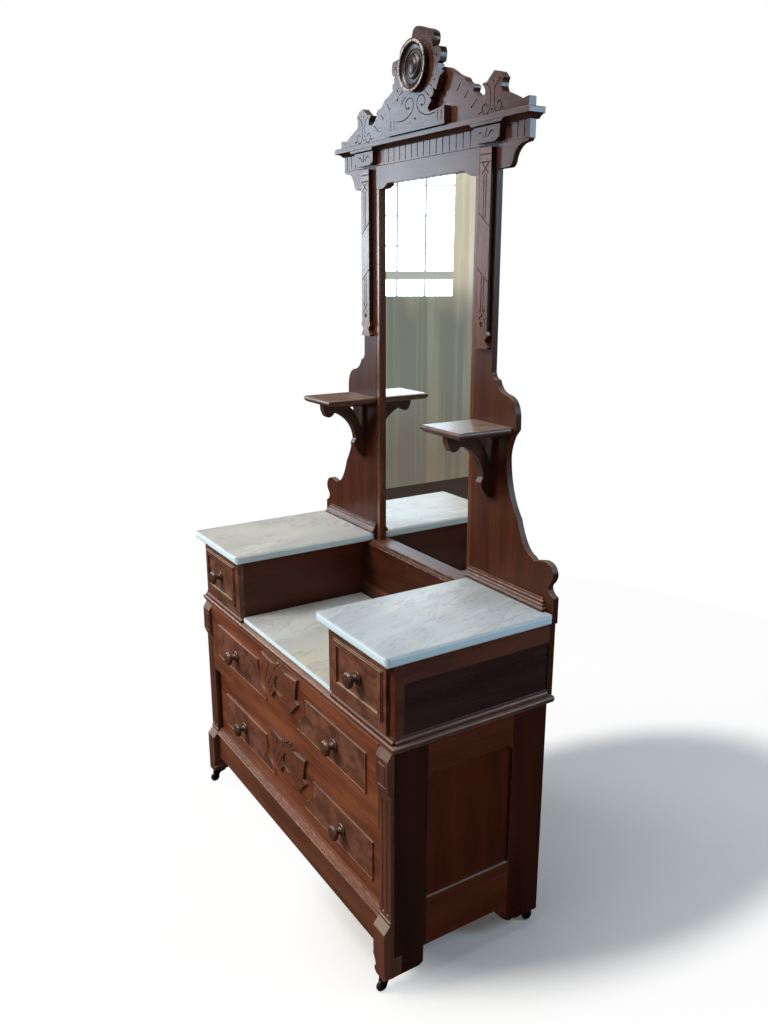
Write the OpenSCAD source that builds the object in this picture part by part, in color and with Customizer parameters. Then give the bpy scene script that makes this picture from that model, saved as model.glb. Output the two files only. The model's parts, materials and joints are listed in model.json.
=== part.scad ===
// Drop-centre washstand with marble tops and a tall mirror, in millimetres.
// X runs left to right, Y runs from the front to the back, Z is up from the floor.
// The sizes are set from the front lip of the ledge, and stand() then centres the piece on its origin.

/* [Case] */
// Width of the case, outside the side frames
case_w = 1042; // [900:1:1200]
// Depth of the case from the corner posts to the back
case_d = 425; // [360:1:480]
// Height of the case above its bottom rails
case_h = 515; // [460:1:600]
// Height of the wooden feet below the bottom rails
foot_h = 49; // [35:1:80]
// Thickness of the side frames
side_t = 22; // [18:1:28]
// Width of the front corner posts
post_w = 46; // [40:1:60]
// Thickness of the corner posts behind the pilaster strips
post_t = 19; // [15:1:25]
// Width of the front stile seen from the side
front_stile = 93; // [70:1:110]
// Width of the rear stile seen from the side
rear_stile = 98; // [70:1:110]
// Height of the top rail of the side frames
side_rail = 80; // [50:1:100]
// Height of the bottom rail of the side frames
side_foot_rail = 124; // [80:1:140]
// Thickness of the side panels
panel_t = 9; // [6:1:12]
// Depth at which the side panels lie behind the frame
panel_set = 6; // [3:1:9]
// Thickness of the back boards
back_t = 10; // [6:1:14]
// Height of the front apron
apron_h = 80; // [60:1:100]
// Thickness of the apron
apron_t = 18; // [14:1:22]
// Height of the base moulding above the apron
base_mould_h = 22; // [16:1:30]

/* [Corner posts] */
// Thickness of the fluted pilaster strips
pilaster_t = 8; // [6:1:12]
// Radius of a flute
flute_r = 5; // [3:0.5:6]
// Spacing of the two flutes
flute_pitch = 18; // [14:1:20]
// How far the front feet stand out from the pilasters
foot_out = 17; // [10:1:22]
// Height of the sloped top of the front feet above the case bottom
foot_top = 93; // [80:1:110]
// Height of the lip between a front foot and its pilaster
foot_lip = 6; // [4:1:9]
// Height of the slope on the front feet
foot_slope = 20; // [10:1:30]
// Depth of the front feet under the corner posts
foot_depth = 46; // [40:1:54]
// How far the top blocks stand out from the pilasters
top_block_out = 9; // [5:1:14]
// Height of the top blocks
top_block_h = 110; // [90:1:120]

/* [Ledge and marble] */
// Overhang of the ledge at each side
ledge_side = 12.5; // [8:0.5:20]
// Overhang of the ledge in front of the corner posts
ledge_front = 5; // [3:0.5:9]
// Thickness of the ledge
ledge_t = 14; // [12:1:20]
// Thickness of the well slab
well_slab_t = 17; // [14:1:22]
// Thickness of the side slabs
slab_t = 23; // [18:1:28]
// Overhang of the side slabs past the ledge front
slab_front = 14; // [6:1:20]
// Overhang of the side slabs over the well
slab_well = 31; // [15:1:40]
// Radius of the corners of the side slabs, seen from above
slab_corner = 13; // [8:1:20]
// Radius of the rounded marble edges
slab_edge = 7; // [4:1:8]
// Setback of the well slab behind the ledge front
well_slab_y = 12; // [8:1:18]
// Clearance round a marble slab
slab_gap = 0.4; // [0.3:0.1:1]

/* [Glove boxes] */
// Clear width of the well between the glove boxes
well_w = 514; // [440:1:600]
// Height of the glove boxes
box_h = 181; // [150:1:210]
// Setback of the corner post of a glove box from the ledge front
box_front = 12; // [8:1:20]
// How far a small drawer front stands out from the corner post
small_out = 7.6; // [4:0.2:10]
// Height of the sill under a small drawer
box_sill_h = 15; // [10:1:22]
// Thickness of the glove box sides
box_t = 12; // [10:1:16]
// Width of the outer corner post of a glove box
box_post = 20; // [16:1:26]
// Height of the top band on the outer side
box_band = 48; // [30:1:60]
// Thickness of the board under a small drawer
box_floor_t = 6; // [4:1:8]

/* [Drawers] */
// Share of the drawer opening that the upper long drawer takes
upper_share = 0.5; // [0.45:0.01:0.55]
// Thickness of the long drawer fronts
front_t = 22; // [18:1:26]
// Setback of the lower drawer front behind the upper one
lower_set = 17; // [10:1:20]
// Thickness of the drawer sides and backs
box_side_t = 12; // [9:1:14]
// Thickness of the drawer bottoms
box_bottom_t = 7; // [5:1:9]
// Room above the sides of the long drawers
box_head = 46; // [30:1:70]
// Room behind the long drawer boxes
long_back_gap = 26; // [10:1:90]
// Thickness of the dust boards and drawer rails
dust_t = 12; // [9:1:16]
// Gap between a drawer front and what frames it
front_gap = 1; // [0.6:0.1:2]
// Running clearance between a drawer and its runners
run_gap = 0.3; // [0.2:0.05:0.5]
// Thickness of the raised panels
raised_t = 4; // [3:0.5:6]
// Height of the bead round a raised panel
bead_h = 1; // [0.5:0.1:2]
// Height of the raised panels
raised_h = 100; // [80:1:120]
// Distance from the end of a drawer front to its raised panel
raised_end = 49; // [35:1:60]
// Half width left for the ornament at the top of the raised panels
raised_mid = 138; // [120:1:150]
// Half width left for the ornament at the bottom of the raised panels
raised_low = 87; // [70:1:100]
// Width of the carved ornaments
ornament_w = 208; // [180:1:230]
// Thickness of the carved ornaments
ornament_t = 7; // [5:0.5:9]
// Thickness of a small drawer front
small_front_t = 16; // [12:1:20]
// Room above the sides of the small drawers
small_head = 50; // [30:1:80]
// Room behind the small drawer boxes
small_back_gap = 36; // [10:1:100]

/* [Knobs] */
// Diameter of a knob
knob_d = 38; // [30:1:44]
// Distance that a knob stands out
knob_out = 33; // [26:1:40]
// Diameter of the foot of a knob
knob_foot = 28; // [20:1:32]
// Distance of the long drawer knobs from the middle
knob_x = 286; // [240:1:320]

/* [Casters] */
// Height of a caster under the foot
caster_h = 41; // [34:1:50]
// Diameter of a caster wheel
wheel_d = 27; // [20:1:30]
// Width of a caster wheel
wheel_w = 9; // [7:0.5:12]
// Distance of the wheel axle from the swivel axis
trail = 17; // [12:1:20]
// Diameter of the caster stem
stem_d = 9; // [7:0.5:11]
// Length of the stem inside the foot
stem_l = 26; // [18:1:34]
// Diameter of the wheel axle
axle_d = 5; // [4:0.5:6]
// Radial clearance of the pins in their bores
pin_gap = 0.05; // [0.02:0.01:0.1]
// Thickness of the caster plate
plate_t = 3; // [2:0.5:5]
// Diameter of the caster plate
plate_d = 38; // [32:1:42]
// Wall of the caster fork
fork_t = 2.5; // [2:0.1:4]

/* [Mirror stand] */
// Distance of the mirror boards in front of the back of the case
stand_in = 2; // [0:1:6]
// Thickness of the mirror boards
board_t = 16; // [13:1:20]
// Width of the opening for the glass
glass_w = 440; // [380:1:500]
// Height of the mirror boards above the side slabs
board_h = 1005; // [900:1:1100]
// Width of the mirror stiles
stile_w = 65; // [58:1:75]
// Thickness of the glass
glass_t = 4; // [3:0.5:6]
// Thickness of the boards behind the glass
backing_t = 8; // [5:1:10]
// Overlap of the backing on the stiles
backing_lap = 42; // [20:1:50]
// Width of the slip moulding round the glass
slip_w = 13; // [8:1:16]
// Overhang of the wings past the case
wing_over = 6; // [2:1:30]
// Height of the moulding at the foot of the wings
wing_mould_h = 28; // [20:1:36]
// Depth of the moulding at the foot of the wings
wing_mould_d = 16; // [12:1:20]
// Height of the top rail over the glass
top_rail_h = 46; // [36:1:60]
// Distance of the well back board in front of the mirror boards
well_back_in = 24; // [18:1:40]
// Height of the sill moulding under the glass
sill_h = 13; // [10:1:18]
// Height of the stepped moulding at the foot of the well back
well_mould_h = 36; // [30:1:60]
// Width of the applied pilasters
pil_w = 39; // [30:1:46]
// Thickness of the applied pilasters
pil_t = 12; // [9:1:16]
// Length of the applied pilasters
pil_l = 433; // [380:1:480]
// Width of an incised line
cut_w = 2.4; // [1.5:0.1:3]
// Depth of an incised line
cut_d = 1.6; // [1:0.1:2.5]

/* [Shelves] */
// Height of the shelf tops above the side slabs
shelf_up = 397; // [340:1:460]
// Length of a shelf
shelf_l = 150; // [120:1:180]
// Depth of a shelf
shelf_d = 153; // [120:1:180]
// Thickness of a shelf
shelf_t = 17; // [13:1:22]
// Length of a shelf bracket under the shelf
bracket_l = 137; // [110:1:150]
// Thickness of a shelf bracket
bracket_t = 20; // [14:1:26]

/* [Cornice] */
// Height of the frieze
frieze_h = 37; // [30:1:50]
// Thickness of the frieze
frieze_t = 17; // [13:1:20]
// Half width of the frieze
frieze_x = 385; // [340:1:420]
// Pitch of the reeds in the middle of the frieze
reed_pitch = 26.4; // [20:0.1:32]
// Pitch of the reeds at the ends of the frieze
end_reed_pitch = 21.5; // [16:0.1:28]
// Number of reeds in the middle of the frieze
reeds = 16; // [12:2:20]
// Width of a corner block
corner_w = 91; // [80:1:110]
// Thickness of a corner block
corner_t = 14; // [10:1:18]
// Overhang of the cornice past the frieze at the ends
cornice_end = 19; // [12:1:26]
// Overhang of the cornice in front of the frieze
cornice_front = 20; // [14:1:28]
// Height of the cove under the cornice lip
cove_h = 8; // [6:1:12]
// Height of the cornice lip
lip_h = 13; // [10:1:18]
// How far the cornice drops over the corner blocks
cornice_drop = 6; // [4:0.5:8]
// Height of the end brackets
end_bracket_h = 52; // [44:1:60]
// Length of the end brackets
end_bracket_l = 101; // [85:1:110]

/* [Crest] */
// Half width of the crest board
crest_x = 388.5; // [340:1:420]
// Thickness of the crest board
crest_t = 19.5; // [15:0.5:24]
// Half width of the applied centre board at its foot
applique_x = 118; // [100:1:130]
// Thickness of the applied centre board
applique_t = 18; // [12:1:22]
// Height of the roundel centre above the cornice
roundel_up = 140; // [125:1:150]
// Radius of the roundel
roundel_r = 56; // [48:1:60]
// Thickness of the roundel
roundel_t = 14; // [12:1:18]
// Height of the crown above the roundel centre
crown_up = 83; // [80:1:92]
// Half width of the crown
crown_x = 46; // [38:1:50]
// Lean of the crown to the right
crown_tilt = 18; // [0:1:20]

/* [Hidden] */

$fn = 40;
eps = 0.01;
wood = "#4a2418";
dark_wood = "#3a1b12";
burl = "#5e2c1a";
pale_wood = "#a98a60";
marble = "#e4e2dc";
iron = "#2b2725";

// heights
case_z0 = caster_h + foot_h;
case_z1 = case_z0 + case_h;
ledge_z1 = case_z1 + ledge_t;
slab_z0 = ledge_z1 + box_h;
slab_z1 = slab_z0 + slab_t;
board_z1 = slab_z1 + board_h;
frieze_z1 = board_z1 + frieze_h;
cornice_z1 = frieze_z1 + cove_h + lip_h;
shelf_z1 = slab_z1 + shelf_up;
base_z1 = case_z0 + apron_h + base_mould_h;
roundel_z = cornice_z1 + roundel_up;
crest_mid = 130 * crest_x / 388.5;

// depths
post_y = ledge_front + pilaster_t - 2;
pilaster_y = post_y - pilaster_t;
case_y1 = ledge_front + case_d;
stand_y = case_y1 - stand_in;
well_back_y = stand_y - well_back_in;
board_y1 = stand_y + board_t;
ledge_y1 = board_y1 - 2;
foot_y = pilaster_y - foot_out;
upper_y = ledge_front - 3;
lower_y = upper_y + lower_set;
cornice_y1 = stand_y + frieze_t + 7;
panel_y = upper_y - raised_t + bead_h;
knob_y0 = panel_y - knob_out;
middle_y = (knob_y0 + cornice_y1) / 2;

// widths
side_x = case_w / 2;
post_x = side_x - post_w;
inner_x = side_x - side_t;
well_x = well_w / 2;
glass_x = glass_w / 2;
neck_x = glass_x + stile_w;
wing_x = side_x + wing_over;
ledge_x = side_x + ledge_side;
slab_x = ledge_x - 0.5;
slab_in = well_x - slab_well;
cornice_x = frieze_x + cornice_end;

// long drawers: the dust board lies between them, behind the fronts
upper_z1 = case_z1 - front_gap;
upper_z0 = case_z1 - upper_share * (case_z1 - base_z1) + front_gap;
lower_z1 = upper_z0 - 2 * front_gap;
lower_z0 = base_z1 + front_gap;
dust_z = upper_z0 - dust_t / 2;
upper_mid = upper_z0 + 0.535 * (upper_z1 - upper_z0);
lower_mid = lower_z0 + 0.42 * (lower_z1 - lower_z0);
front_x = post_x - front_gap;
long_box_x = front_x - 14;
small_x0 = well_x + front_gap;
small_x1 = side_x - box_post - front_gap;
small_y = box_front - small_out;
small_z0 = ledge_z1 + box_sill_h + front_gap;
small_front_y1 = small_y + small_front_t;
small_floor_z = ledge_z1 + box_sill_h;
small_z1 = slab_z0 - 5;
small_box_x0 = well_x + box_t + 2;
small_box_x1 = side_x - box_post - 3;

// casters
wheel_r = wheel_d / 2;
stem_r = stem_d / 2;
axle_r = axle_d / 2;
plate_z0 = caster_h - plate_t;
crown_z1 = plate_z0 - 1;
caster_x = side_x - 21;
caster_front_y = foot_y + 24;
caster_rear_y = case_y1 - 28;

function arc(cx, cy, r, a0, a1, n = 8) =
  [for (i = [0 : n]) [cx + r * cos(a0 + (a1 - a0) * i / n), cy + r * sin(a0 + (a1 - a0) * i / n)]];
function curve(a, b, c, n = 8) =
  [for (i = [0 : n]) let (t = i / n) (1 - t) * (1 - t) * a + 2 * t * (1 - t) * b + t * t * c];
function spiral(cx, cy, r0, r1, a0, a1, n = 18) = [for (i = [0 : n])
  let (t = i / n, r = r0 + (r1 - r0) * t, a = a0 + (a1 - a0) * t) [cx + r * cos(a), cy + r * sin(a)]];
function moved(points, x, y) = [for (p = points) [p[0] + x, p[1] + y]];
function sized(points, k) = [for (p = points) k * p];
function flipped(points) = [for (i = [len(points) - 1 : -1 : 0]) [-points[i][0], points[i][1]]];

module stand() { translate([0, -middle_y, 0]) children(); }

module both() {
  children();
  mirror([1, 0, 0]) children();
}

module block(x0, x1, y0, y1, z0, z1) {
  translate([x0, y0, z0]) cube([x1 - x0, y1 - y0, z1 - z0]);
}

// a plate whose outline is drawn in X and Z, from y0 back to y0 + t
module front_plate(points, y0, t) {
  translate([0, y0 + t, 0]) rotate([90, 0, 0]) linear_extrude(t) polygon(points);
}

// a plate whose outline is drawn in Y and Z, from x0 to x0 + t
module side_plate(points, x0, t) {
  translate([x0, 0, 0]) rotate([90, 0, 90]) linear_extrude(t) polygon(points);
}

// a moulding that runs round the front and both sides; edge lists [inset, height] from bottom to top
module three_sided(edge, x, y0, y1) {
  front = concat([[y1, edge[0][1]]], [for (p = edge) [y0 + p[0], p[1]]], [[y1, edge[len(edge) - 1][1]]]);
  right = [for (p = edge) [x - p[0], p[1]]];
  intersection() {
    side_plate(front, -x, 2 * x);
    front_plate(concat(right, flipped(right)), y0, y1 - y0);
  }
}

// a groove of the incised width between two points of a front face
module groove(a, b, y) {
  length = norm(b - a);
  translate([a[0], y - eps, a[1]]) rotate([0, -atan2(b[1] - a[1], b[0] - a[0]), 0])
    translate([0, 0, -cut_w / 2]) cube([length, cut_d + eps, cut_w]);
}

// the outline of a line of width w drawn through the points
function stroke(p, w) = let (n = len(p) - 1,
    side = [for (i = [0 : n]) let (d = p[min(i + 1, n)] - p[max(i - 1, 0)]) w / 2 / norm(d) * [-d[1], d[0]]])
  concat([for (i = [0 : n]) p[i] + side[i]], [for (i = [n : -1 : 0]) p[i] - side[i]]);

// a groove of the incised width along a curved line on a front face
module curved_groove(points, y) { front_plate(stroke(points, cut_w), y - eps, cut_d + eps); }

module round_pit(x, z, y, r) {
  translate([x, y - eps, z]) rotate([-90, 0, 0]) cylinder(r = r, h = cut_d + eps, $fn = 16);
}

// ---------------------------------------------------------------- case

module side_outline() {
  y0 = post_y;
  y1 = case_y1;
  rear_top = y1 - 130;
  rear_toe = y1 - 85;
  toe_y = ledge_front + 86;
  polygon(concat(
    [[y0, case_z1], [y0, case_z0], [foot_y + foot_depth, case_z0], [foot_y + foot_depth, caster_h],
     [toe_y - 12, caster_h], [toe_y, caster_h + 6], [toe_y, case_z0]],
    curve([rear_top, case_z0], [rear_top + 14, caster_h + 16], [rear_toe, caster_h + 1]),
    [[rear_toe + 8, caster_h + 5], [rear_toe + 17, caster_h], [rear_toe + 26, caster_h]],
    [[y1, caster_h], [y1, case_z1]]));
}

module side_opening() {
  cut = 12;
  y0 = ledge_front + front_stile;
  y1 = case_y1 - rear_stile;
  z0 = case_z0 + side_foot_rail;
  z1 = case_z1 - side_rail;
  polygon([[y0, z0], [y1, z0], [y1, z1 - cut], [y1 - cut, z1], [y0 + cut, z1], [y0, z1 - cut]]);
}

module case_side() {
  difference() {
    union() {
      translate([inner_x, 0, 0]) rotate([90, 0, 90]) linear_extrude(side_t) difference() {
        side_outline();
        side_opening();
      }
      // inner part of the front corner post, and the block that carries the rear caster
      block(post_x, inner_x, post_y, post_y + post_t, case_z0, case_z1);
      block(post_x, inner_x, case_y1 - 56, case_y1 - back_t - 2, caster_h, case_z0);
    }
    translate([caster_x, caster_rear_y, caster_h - 1]) cylinder(r = stem_r + 0.5, h = stem_l + 2);
  }
}

module case_side_right() { color(wood) stand() case_side(); }

module case_side_left() { color(wood) stand() mirror([1, 0, 0]) case_side(); }

module side_panels() {
  color(dark_wood) stand() both()
    translate([side_x - panel_set - panel_t, 0, 0]) rotate([90, 0, 90]) linear_extrude(panel_t) side_opening();
}

// three boards and the two strips that cover their joints
module case_back() {
  boards = 3;
  strip = 60;
  pitch = 2 * inner_x / boards;
  color(pale_wood) stand() {
    block(-inner_x, inner_x, case_y1 - back_t, case_y1 - 3, case_z0, case_z1);
    for (i = [1 : boards - 1])
      block(-inner_x + i * pitch - strip / 2, -inner_x + i * pitch + strip / 2, case_y1 - 3, case_y1,
        case_z0, case_z1);
  }
}

// bottom board, the board between the long drawers, and the guides beside the drawer boxes
module dust_boards() {
  guide_h = 24;
  back = case_y1 - back_t;
  color(pale_wood) stand() {
    difference() {
      block(-inner_x, inner_x, ledge_front + apron_t, back, base_z1 - dust_t, base_z1);
      both() block(post_x - eps, inner_x + 1, post_y - 1, post_y + post_t, case_z0, case_z1);
    }
    block(-inner_x, inner_x, lower_y + front_t + 1, back, dust_z - dust_t / 2, dust_z + dust_t / 2);
    both() for (z = [base_z1, dust_z + dust_t / 2])
      block(long_box_x + 2 * run_gap, inner_x, lower_y + front_t + 2, back, z, z + guide_h);
  }
}

// the wavy inner edge of a front foot, from its toe up to the apron
function foot_edge() = [[12, 0], [10, 2], [5, 6], [4, 10], [5, 16], [9, 20], [10, 23], [6, 34], [1, 43]];

module front_feet() {
  slope = [[pilaster_y + eps, case_z0 + foot_top], [foot_y, case_z0 + foot_top - foot_slope], [foot_y, caster_h],
    [foot_y + foot_depth, caster_h], [foot_y + foot_depth, case_z0], [post_y, case_z0],
    [post_y, case_z0 + foot_top]];
  edge = moved(sized(foot_edge(), foot_h / 49), post_x, caster_h);
  color(wood) stand() both() difference() {
    union() {
      side_plate(slope, post_x, post_w);
      block(post_x, side_x, pilaster_y - 3, post_y, case_z0 + foot_top, case_z0 + foot_top + foot_lip);
    }
    front_plate(concat([[post_x - 1, caster_h - 1], [edge[0][0], caster_h - 1]], edge,
      [[post_x - 1, case_z0 - 5]]), foot_y - 1, foot_depth + 2);
    translate([caster_x, caster_front_y, caster_h - 1]) cylinder(r = stem_r + 0.5, h = stem_l + 2);
  }
}

module fluted_pilasters() {
  z0 = case_z0 + foot_top + foot_lip;
  z1 = case_z1 - top_block_h;
  end = 14;
  sink = flute_r - 2.5;
  color(wood) stand() both() difference() {
    block(post_x, side_x, pilaster_y, post_y, z0, z1);
    for (x = [-flute_pitch / 2, flute_pitch / 2])
      translate([post_x + post_w / 2 + x, pilaster_y - sink, z0 + end]) {
        cylinder(r = flute_r, h = z1 - z0 - 2 * end);
        sphere(r = flute_r);
        translate([0, 0, z1 - z0 - 2 * end]) sphere(r = flute_r);
      }
  }
}

module top_blocks() {
  y = pilaster_y - top_block_out;
  z0 = case_z1 - top_block_h;
  margin = 9;
  bottom_slope = 22;
  top_slope = 21;
  outline = [[post_y, z0], [pilaster_y, z0], [y, z0 + bottom_slope], [y, case_z1 - top_slope],
    [pilaster_y + 4, case_z1], [post_y, case_z1]];
  x0 = post_x + margin;
  x1 = side_x - margin;
  zb = z0 + bottom_slope + 4;
  zt = case_z1 - top_slope - 12;
  color(wood) stand() both() difference() {
    side_plate(outline, post_x, post_w);
    groove([x0, zb], [x1, zb], y);
    groove([x0, zt], [x1, zt], y);
    groove([x0, zb], [x0, zt], y);
    groove([x1, zb], [x1, zt], y);
  }
}

module apron() {
  color(wood) stand() block(-post_x, post_x, ledge_front, ledge_front + apron_t, case_z0, case_z0 + apron_h);
}

module base_moulding() {
  z = case_z0 + apron_h;
  back = ledge_front + apron_t;
  outline = concat([[back, z], [ledge_front - 1, z]], curve([ledge_front - 3, z + 2], [-3, z + 4], [-2, z + 8]),
    [[2, z + 10], [2, z + 13]], curve([2, z + 13], [8, z + 14], [8, z + 18]),
    [[11, z + 19], [11, z + base_mould_h], [back, z + base_mould_h]]);
  color(wood) stand() side_plate(outline, -post_x, 2 * post_x);
}

// ---------------------------------------------------------------- ledge and marble

module ledge_moulding() {
  bevel = 2;
  lip = (ledge_t - bevel) / 2;
  z0 = case_z1;
  edge = concat([[3, z0], [3, z0 + bevel]], arc(lip, z0 + bevel + lip, lip, -90, -270, 10));
  color(wood) stand() three_sided(edge, ledge_x, 0, ledge_y1);
}

// a rectangle from a to b, drawn in height between z and z + t with rounded arrises
function nosed(a, b, z, t, r) = concat(arc(a + r, z + r, r, 270, 180, 5), arc(a + r, z + t - r, r, 180, 90, 5),
  arc(b - r, z + t - r, r, 90, 0, 5), arc(b - r, z + r, r, 0, -90, 5));

// a marble slab with rounded arrises and with rounded corners in plan
module slab(x0, x1, y0, y1, z0, t, corner) {
  edge = min(slab_edge, t / 2 - 1);
  intersection() {
    side_plate(nosed(y0, y1, z0, t, edge), x0, x1 - x0);
    front_plate(nosed(x0, x1, z0, t, edge), y0, y1 - y0);
    translate([0, 0, z0]) linear_extrude(t) polygon(concat(
      arc(x0 + corner, y0 + corner, corner, 180, 270, 6), arc(x1 - corner, y0 + corner, corner, 270, 360, 6),
      arc(x1 - corner, y1 - corner, corner, 0, 90, 6), arc(x0 + corner, y1 - corner, corner, 90, 180, 6)));
  }
}

module well_marble() {
  x = well_x - slab_gap;
  color(marble) stand()
    slab(-x, x, well_slab_y, well_back_y - slab_gap, ledge_z1, well_slab_t, slab_edge);
}

module side_slab() { slab(slab_in, slab_x, -slab_front, stand_y - run_gap, slab_z0, slab_t, slab_corner); }

module marble_right() { color(marble) stand() side_slab(); }

module marble_left() { color(marble) stand() mirror([1, 0, 0]) side_slab(); }

// ---------------------------------------------------------------- glove boxes

module glove_box() {
  y1 = stand_y;
  post_in = side_x - box_post;
  frame_y = small_front_y1 + 0.5;
  recess = 3;
  wall = 9;
  out = 5;
  foot = concat([[side_x - recess, ledge_z1], [side_x + out, ledge_z1]],
    curve([side_x + out, ledge_z1 + 7], [side_x + 1, ledge_z1 + 8], [side_x, ledge_z1 + box_sill_h], 5),
    [[side_x - recess, ledge_z1 + box_sill_h]]);
  sill = concat([[frame_y, ledge_z1], [box_front - out - 2, ledge_z1]],
    curve([box_front - out - 2, ledge_z1 + 7], [box_front - 2, ledge_z1 + 8], [box_front - 1, small_floor_z], 5),
    [[frame_y, small_floor_z]]);
  difference() {
    union() {
      block(post_in, side_x, box_front, y1, ledge_z1, slab_z0);
      block(well_x, well_x + box_t, frame_y, y1, ledge_z1, slab_z0);
      block(well_x, side_x, y1 - box_t, y1, ledge_z1, slab_z0);
      block(well_x, side_x, frame_y, y1, ledge_z1, small_floor_z);
      block(well_x, side_x, frame_y + 20, y1, slab_z0 - box_floor_t, slab_z0);
      side_plate(sill, well_x, side_x - well_x);
      front_plate(foot, box_front, y1 - box_front);
    }
    block(side_x - recess, side_x + out + 1, box_front + 24, y1 + 1, small_floor_z, slab_z0 - box_band);
    block(post_in - 1, side_x - recess - wall, frame_y + 24, y1 - box_t, small_floor_z, slab_z0 - box_floor_t);
    block(well_x + box_t, post_in, frame_y + 30, y1 - box_t, ledge_z1 - 1, small_floor_z - box_floor_t);
  }
}

module glove_box_right() { color(wood) stand() glove_box(); }

module glove_box_left() { color(wood) stand() mirror([1, 0, 0]) glove_box(); }

// a mitred frame of moulding on a small drawer front
module drawer_frame(x0, x1, z0, z1, w, y) {
  difference() {
    union() {
      block(x0, x1, y - 2.5, y, z0, z1);
      block(x0 + 3, x1 - 3, y - 5, y - 2.5, z0 + 3, z1 - 3);
    }
    block(x0 + w, x1 - w, y - 6, y + 1, z0 + w, z1 - w);
  }
}

module small_drawer() {
  box_z0 = small_floor_z + run_gap;
  box_z1 = slab_z0 - small_head;
  back = stand_y - box_t - small_back_gap;
  block(small_x0, small_x1, small_y, small_front_y1, small_z0, small_z1);
  drawer_frame(small_x0 + 26, small_x1 - 12, small_z0 + 24, small_z1 - 19, 15, small_y);
  difference() {
    block(small_box_x0, small_box_x1, small_front_y1, back, box_z0, box_z1);
    block(small_box_x0 + box_side_t, small_box_x1 - box_side_t, small_front_y1, back - box_side_t,
      box_z0 + box_bottom_t, box_z1 + 1);
  }
}

module right_small_drawer() { color(burl) stand() small_drawer(); }

module left_small_drawer() { color(burl) stand() mirror([1, 0, 0]) small_drawer(); }

// ---------------------------------------------------------------- long drawers

// the right raised panel, drawn round its knob height; d insets the outline
function raised_points(z, d) = let (x1 = front_x - raised_end - d, top = z + raised_h / 2 - d,
    low = z - raised_h / 2 + d, reach = raised_mid - raised_low)
  concat([[x1, low], [x1, top], [raised_mid + d, top], [raised_mid + d, top - 14]],
    curve([raised_mid + d, top - 14], [raised_mid + d - 10, z - 14], [raised_low + reach * 0.42 + d, z - 20]),
    curve([raised_low + reach * 0.42 + d, z - 20], [raised_low + d + 4, z - 28], [raised_low + d, low]));

module raised_panel(z, y) {
  bead = 3;
  front_plate(raised_points(z, 0), y - raised_t + bead_h, raised_t - bead_h);
  difference() {
    front_plate(raised_points(z, 0), y - raised_t, raised_t);
    front_plate(raised_points(z, bead), y - raised_t - 1, 1 + bead_h);
  }
}

module long_front(z0, z1, y, panel_z) {
  block(-front_x, front_x, y, y + front_t, z0, z1);
  both() raised_panel(panel_z, y);
}

// a drawer box from z0 up to z1 behind a front that stands at y
module long_box(z0, z1, y) {
  y0 = y + front_t;
  y1 = case_y1 - back_t - long_back_gap;
  difference() {
    block(-long_box_x, long_box_x, y0, y1, z0, z1);
    block(-long_box_x + box_side_t, long_box_x - box_side_t, y0 + box_side_t, y1 - box_side_t,
      z0 + box_bottom_t, z1 + 1);
  }
}

// right half of a carved ornament, drawn round its own middle for a width of 208
function wing_edge() = concat([[0, -30], [12, -29], [24, -24], [36, -34], [50, -51], [58, -53]],
  [[66, -45], [76, -39], [84, -28], [104, -10], [90, -2], [91, 10]],
  curve([91, 10], [94, 34], [104, 57], 5), curve([98, 53], [86, 49], [34, 48], 5),
  [[28, 55], [20, 51], [12, 61], [4, 58], [0, 50]]);

// a carved ornament with a sunk dish between its two wings; its back stands at y
module ornament(z, y) {
  k = ornament_w / 208;
  right = moved(sized(wing_edge(), k), 0, z);
  front = y - ornament_t;
  color(burl) stand() difference() {
    front_plate(concat(right, [for (i = [len(right) - 2 : -1 : 1]) [-right[i][0], right[i][1]]]), front, ornament_t);
    translate([0, front - eps, z - k]) rotate([-90, 0, 0]) cylinder(r = 26 * k, h = ornament_t / 2);
    both() {
      groove([30 * k, z + 4 * k], [58 * k, z - 46 * k], front);
      groove([42 * k, z + 12 * k], [72 * k, z - 36 * k], front);
      groove([56 * k, z + 42 * k], [82 * k, z - 16 * k], front);
      groove([12 * k, z + 52 * k], [26 * k, z + 32 * k], front);
    }
  }
}

module upper_drawer_front() { color(burl) stand() long_front(upper_z0, upper_z1, upper_y, upper_mid); }

module lower_drawer_front() { color(burl) stand() long_front(lower_z0, lower_z1, lower_y, lower_mid); }

module upper_drawer_box() {
  color(pale_wood) stand() long_box(dust_z + dust_t / 2 + run_gap, case_z1 - box_head, upper_y);
}

module lower_drawer_box() {
  color(pale_wood) stand() long_box(base_z1 + run_gap, dust_z - dust_t / 2 - box_head, lower_y);
}

module upper_ornament() { ornament(upper_mid + 31 / 208 * ornament_w, upper_y); }

module lower_ornament() { ornament(lower_mid + 35 / 208 * ornament_w, lower_y); }

// ---------------------------------------------------------------- knobs

// a turned knob whose foot stands on the point, facing the front
module knob(x, y, z) {
  r = knob_d / 2;
  f = knob_foot / 2;
  neck = f - 5;
  head = knob_out - 13;
  outline = concat([[0, 0], [f, 0]], arc(f, 2.5, 2.5, -90, 90, 5), [[neck + 2, 6]],
    curve([neck + 1, 6], [neck - 3, 12], [neck - 1, head - 1]),
    curve([r - 4, head], [r, head], [r, head + 5], 5),
    curve([r, head + 5], [r - 1, knob_out - 1], [7, knob_out - 1]), [[5, knob_out], [0, knob_out]]);
  translate([x, y, z]) rotate([90, 0, 0]) rotate_extrude() polygon(outline);
}

module upper_knobs() {
  color(burl) stand() both() knob(knob_x, panel_y, upper_mid);
}

module lower_knobs() {
  color(burl) stand() both() knob(knob_x, panel_y + lower_set, lower_mid);
}

module small_knob() { knob((small_x0 + small_x1) / 2 + 7, small_y, (small_z0 + small_z1) / 2 + 4); }

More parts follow.
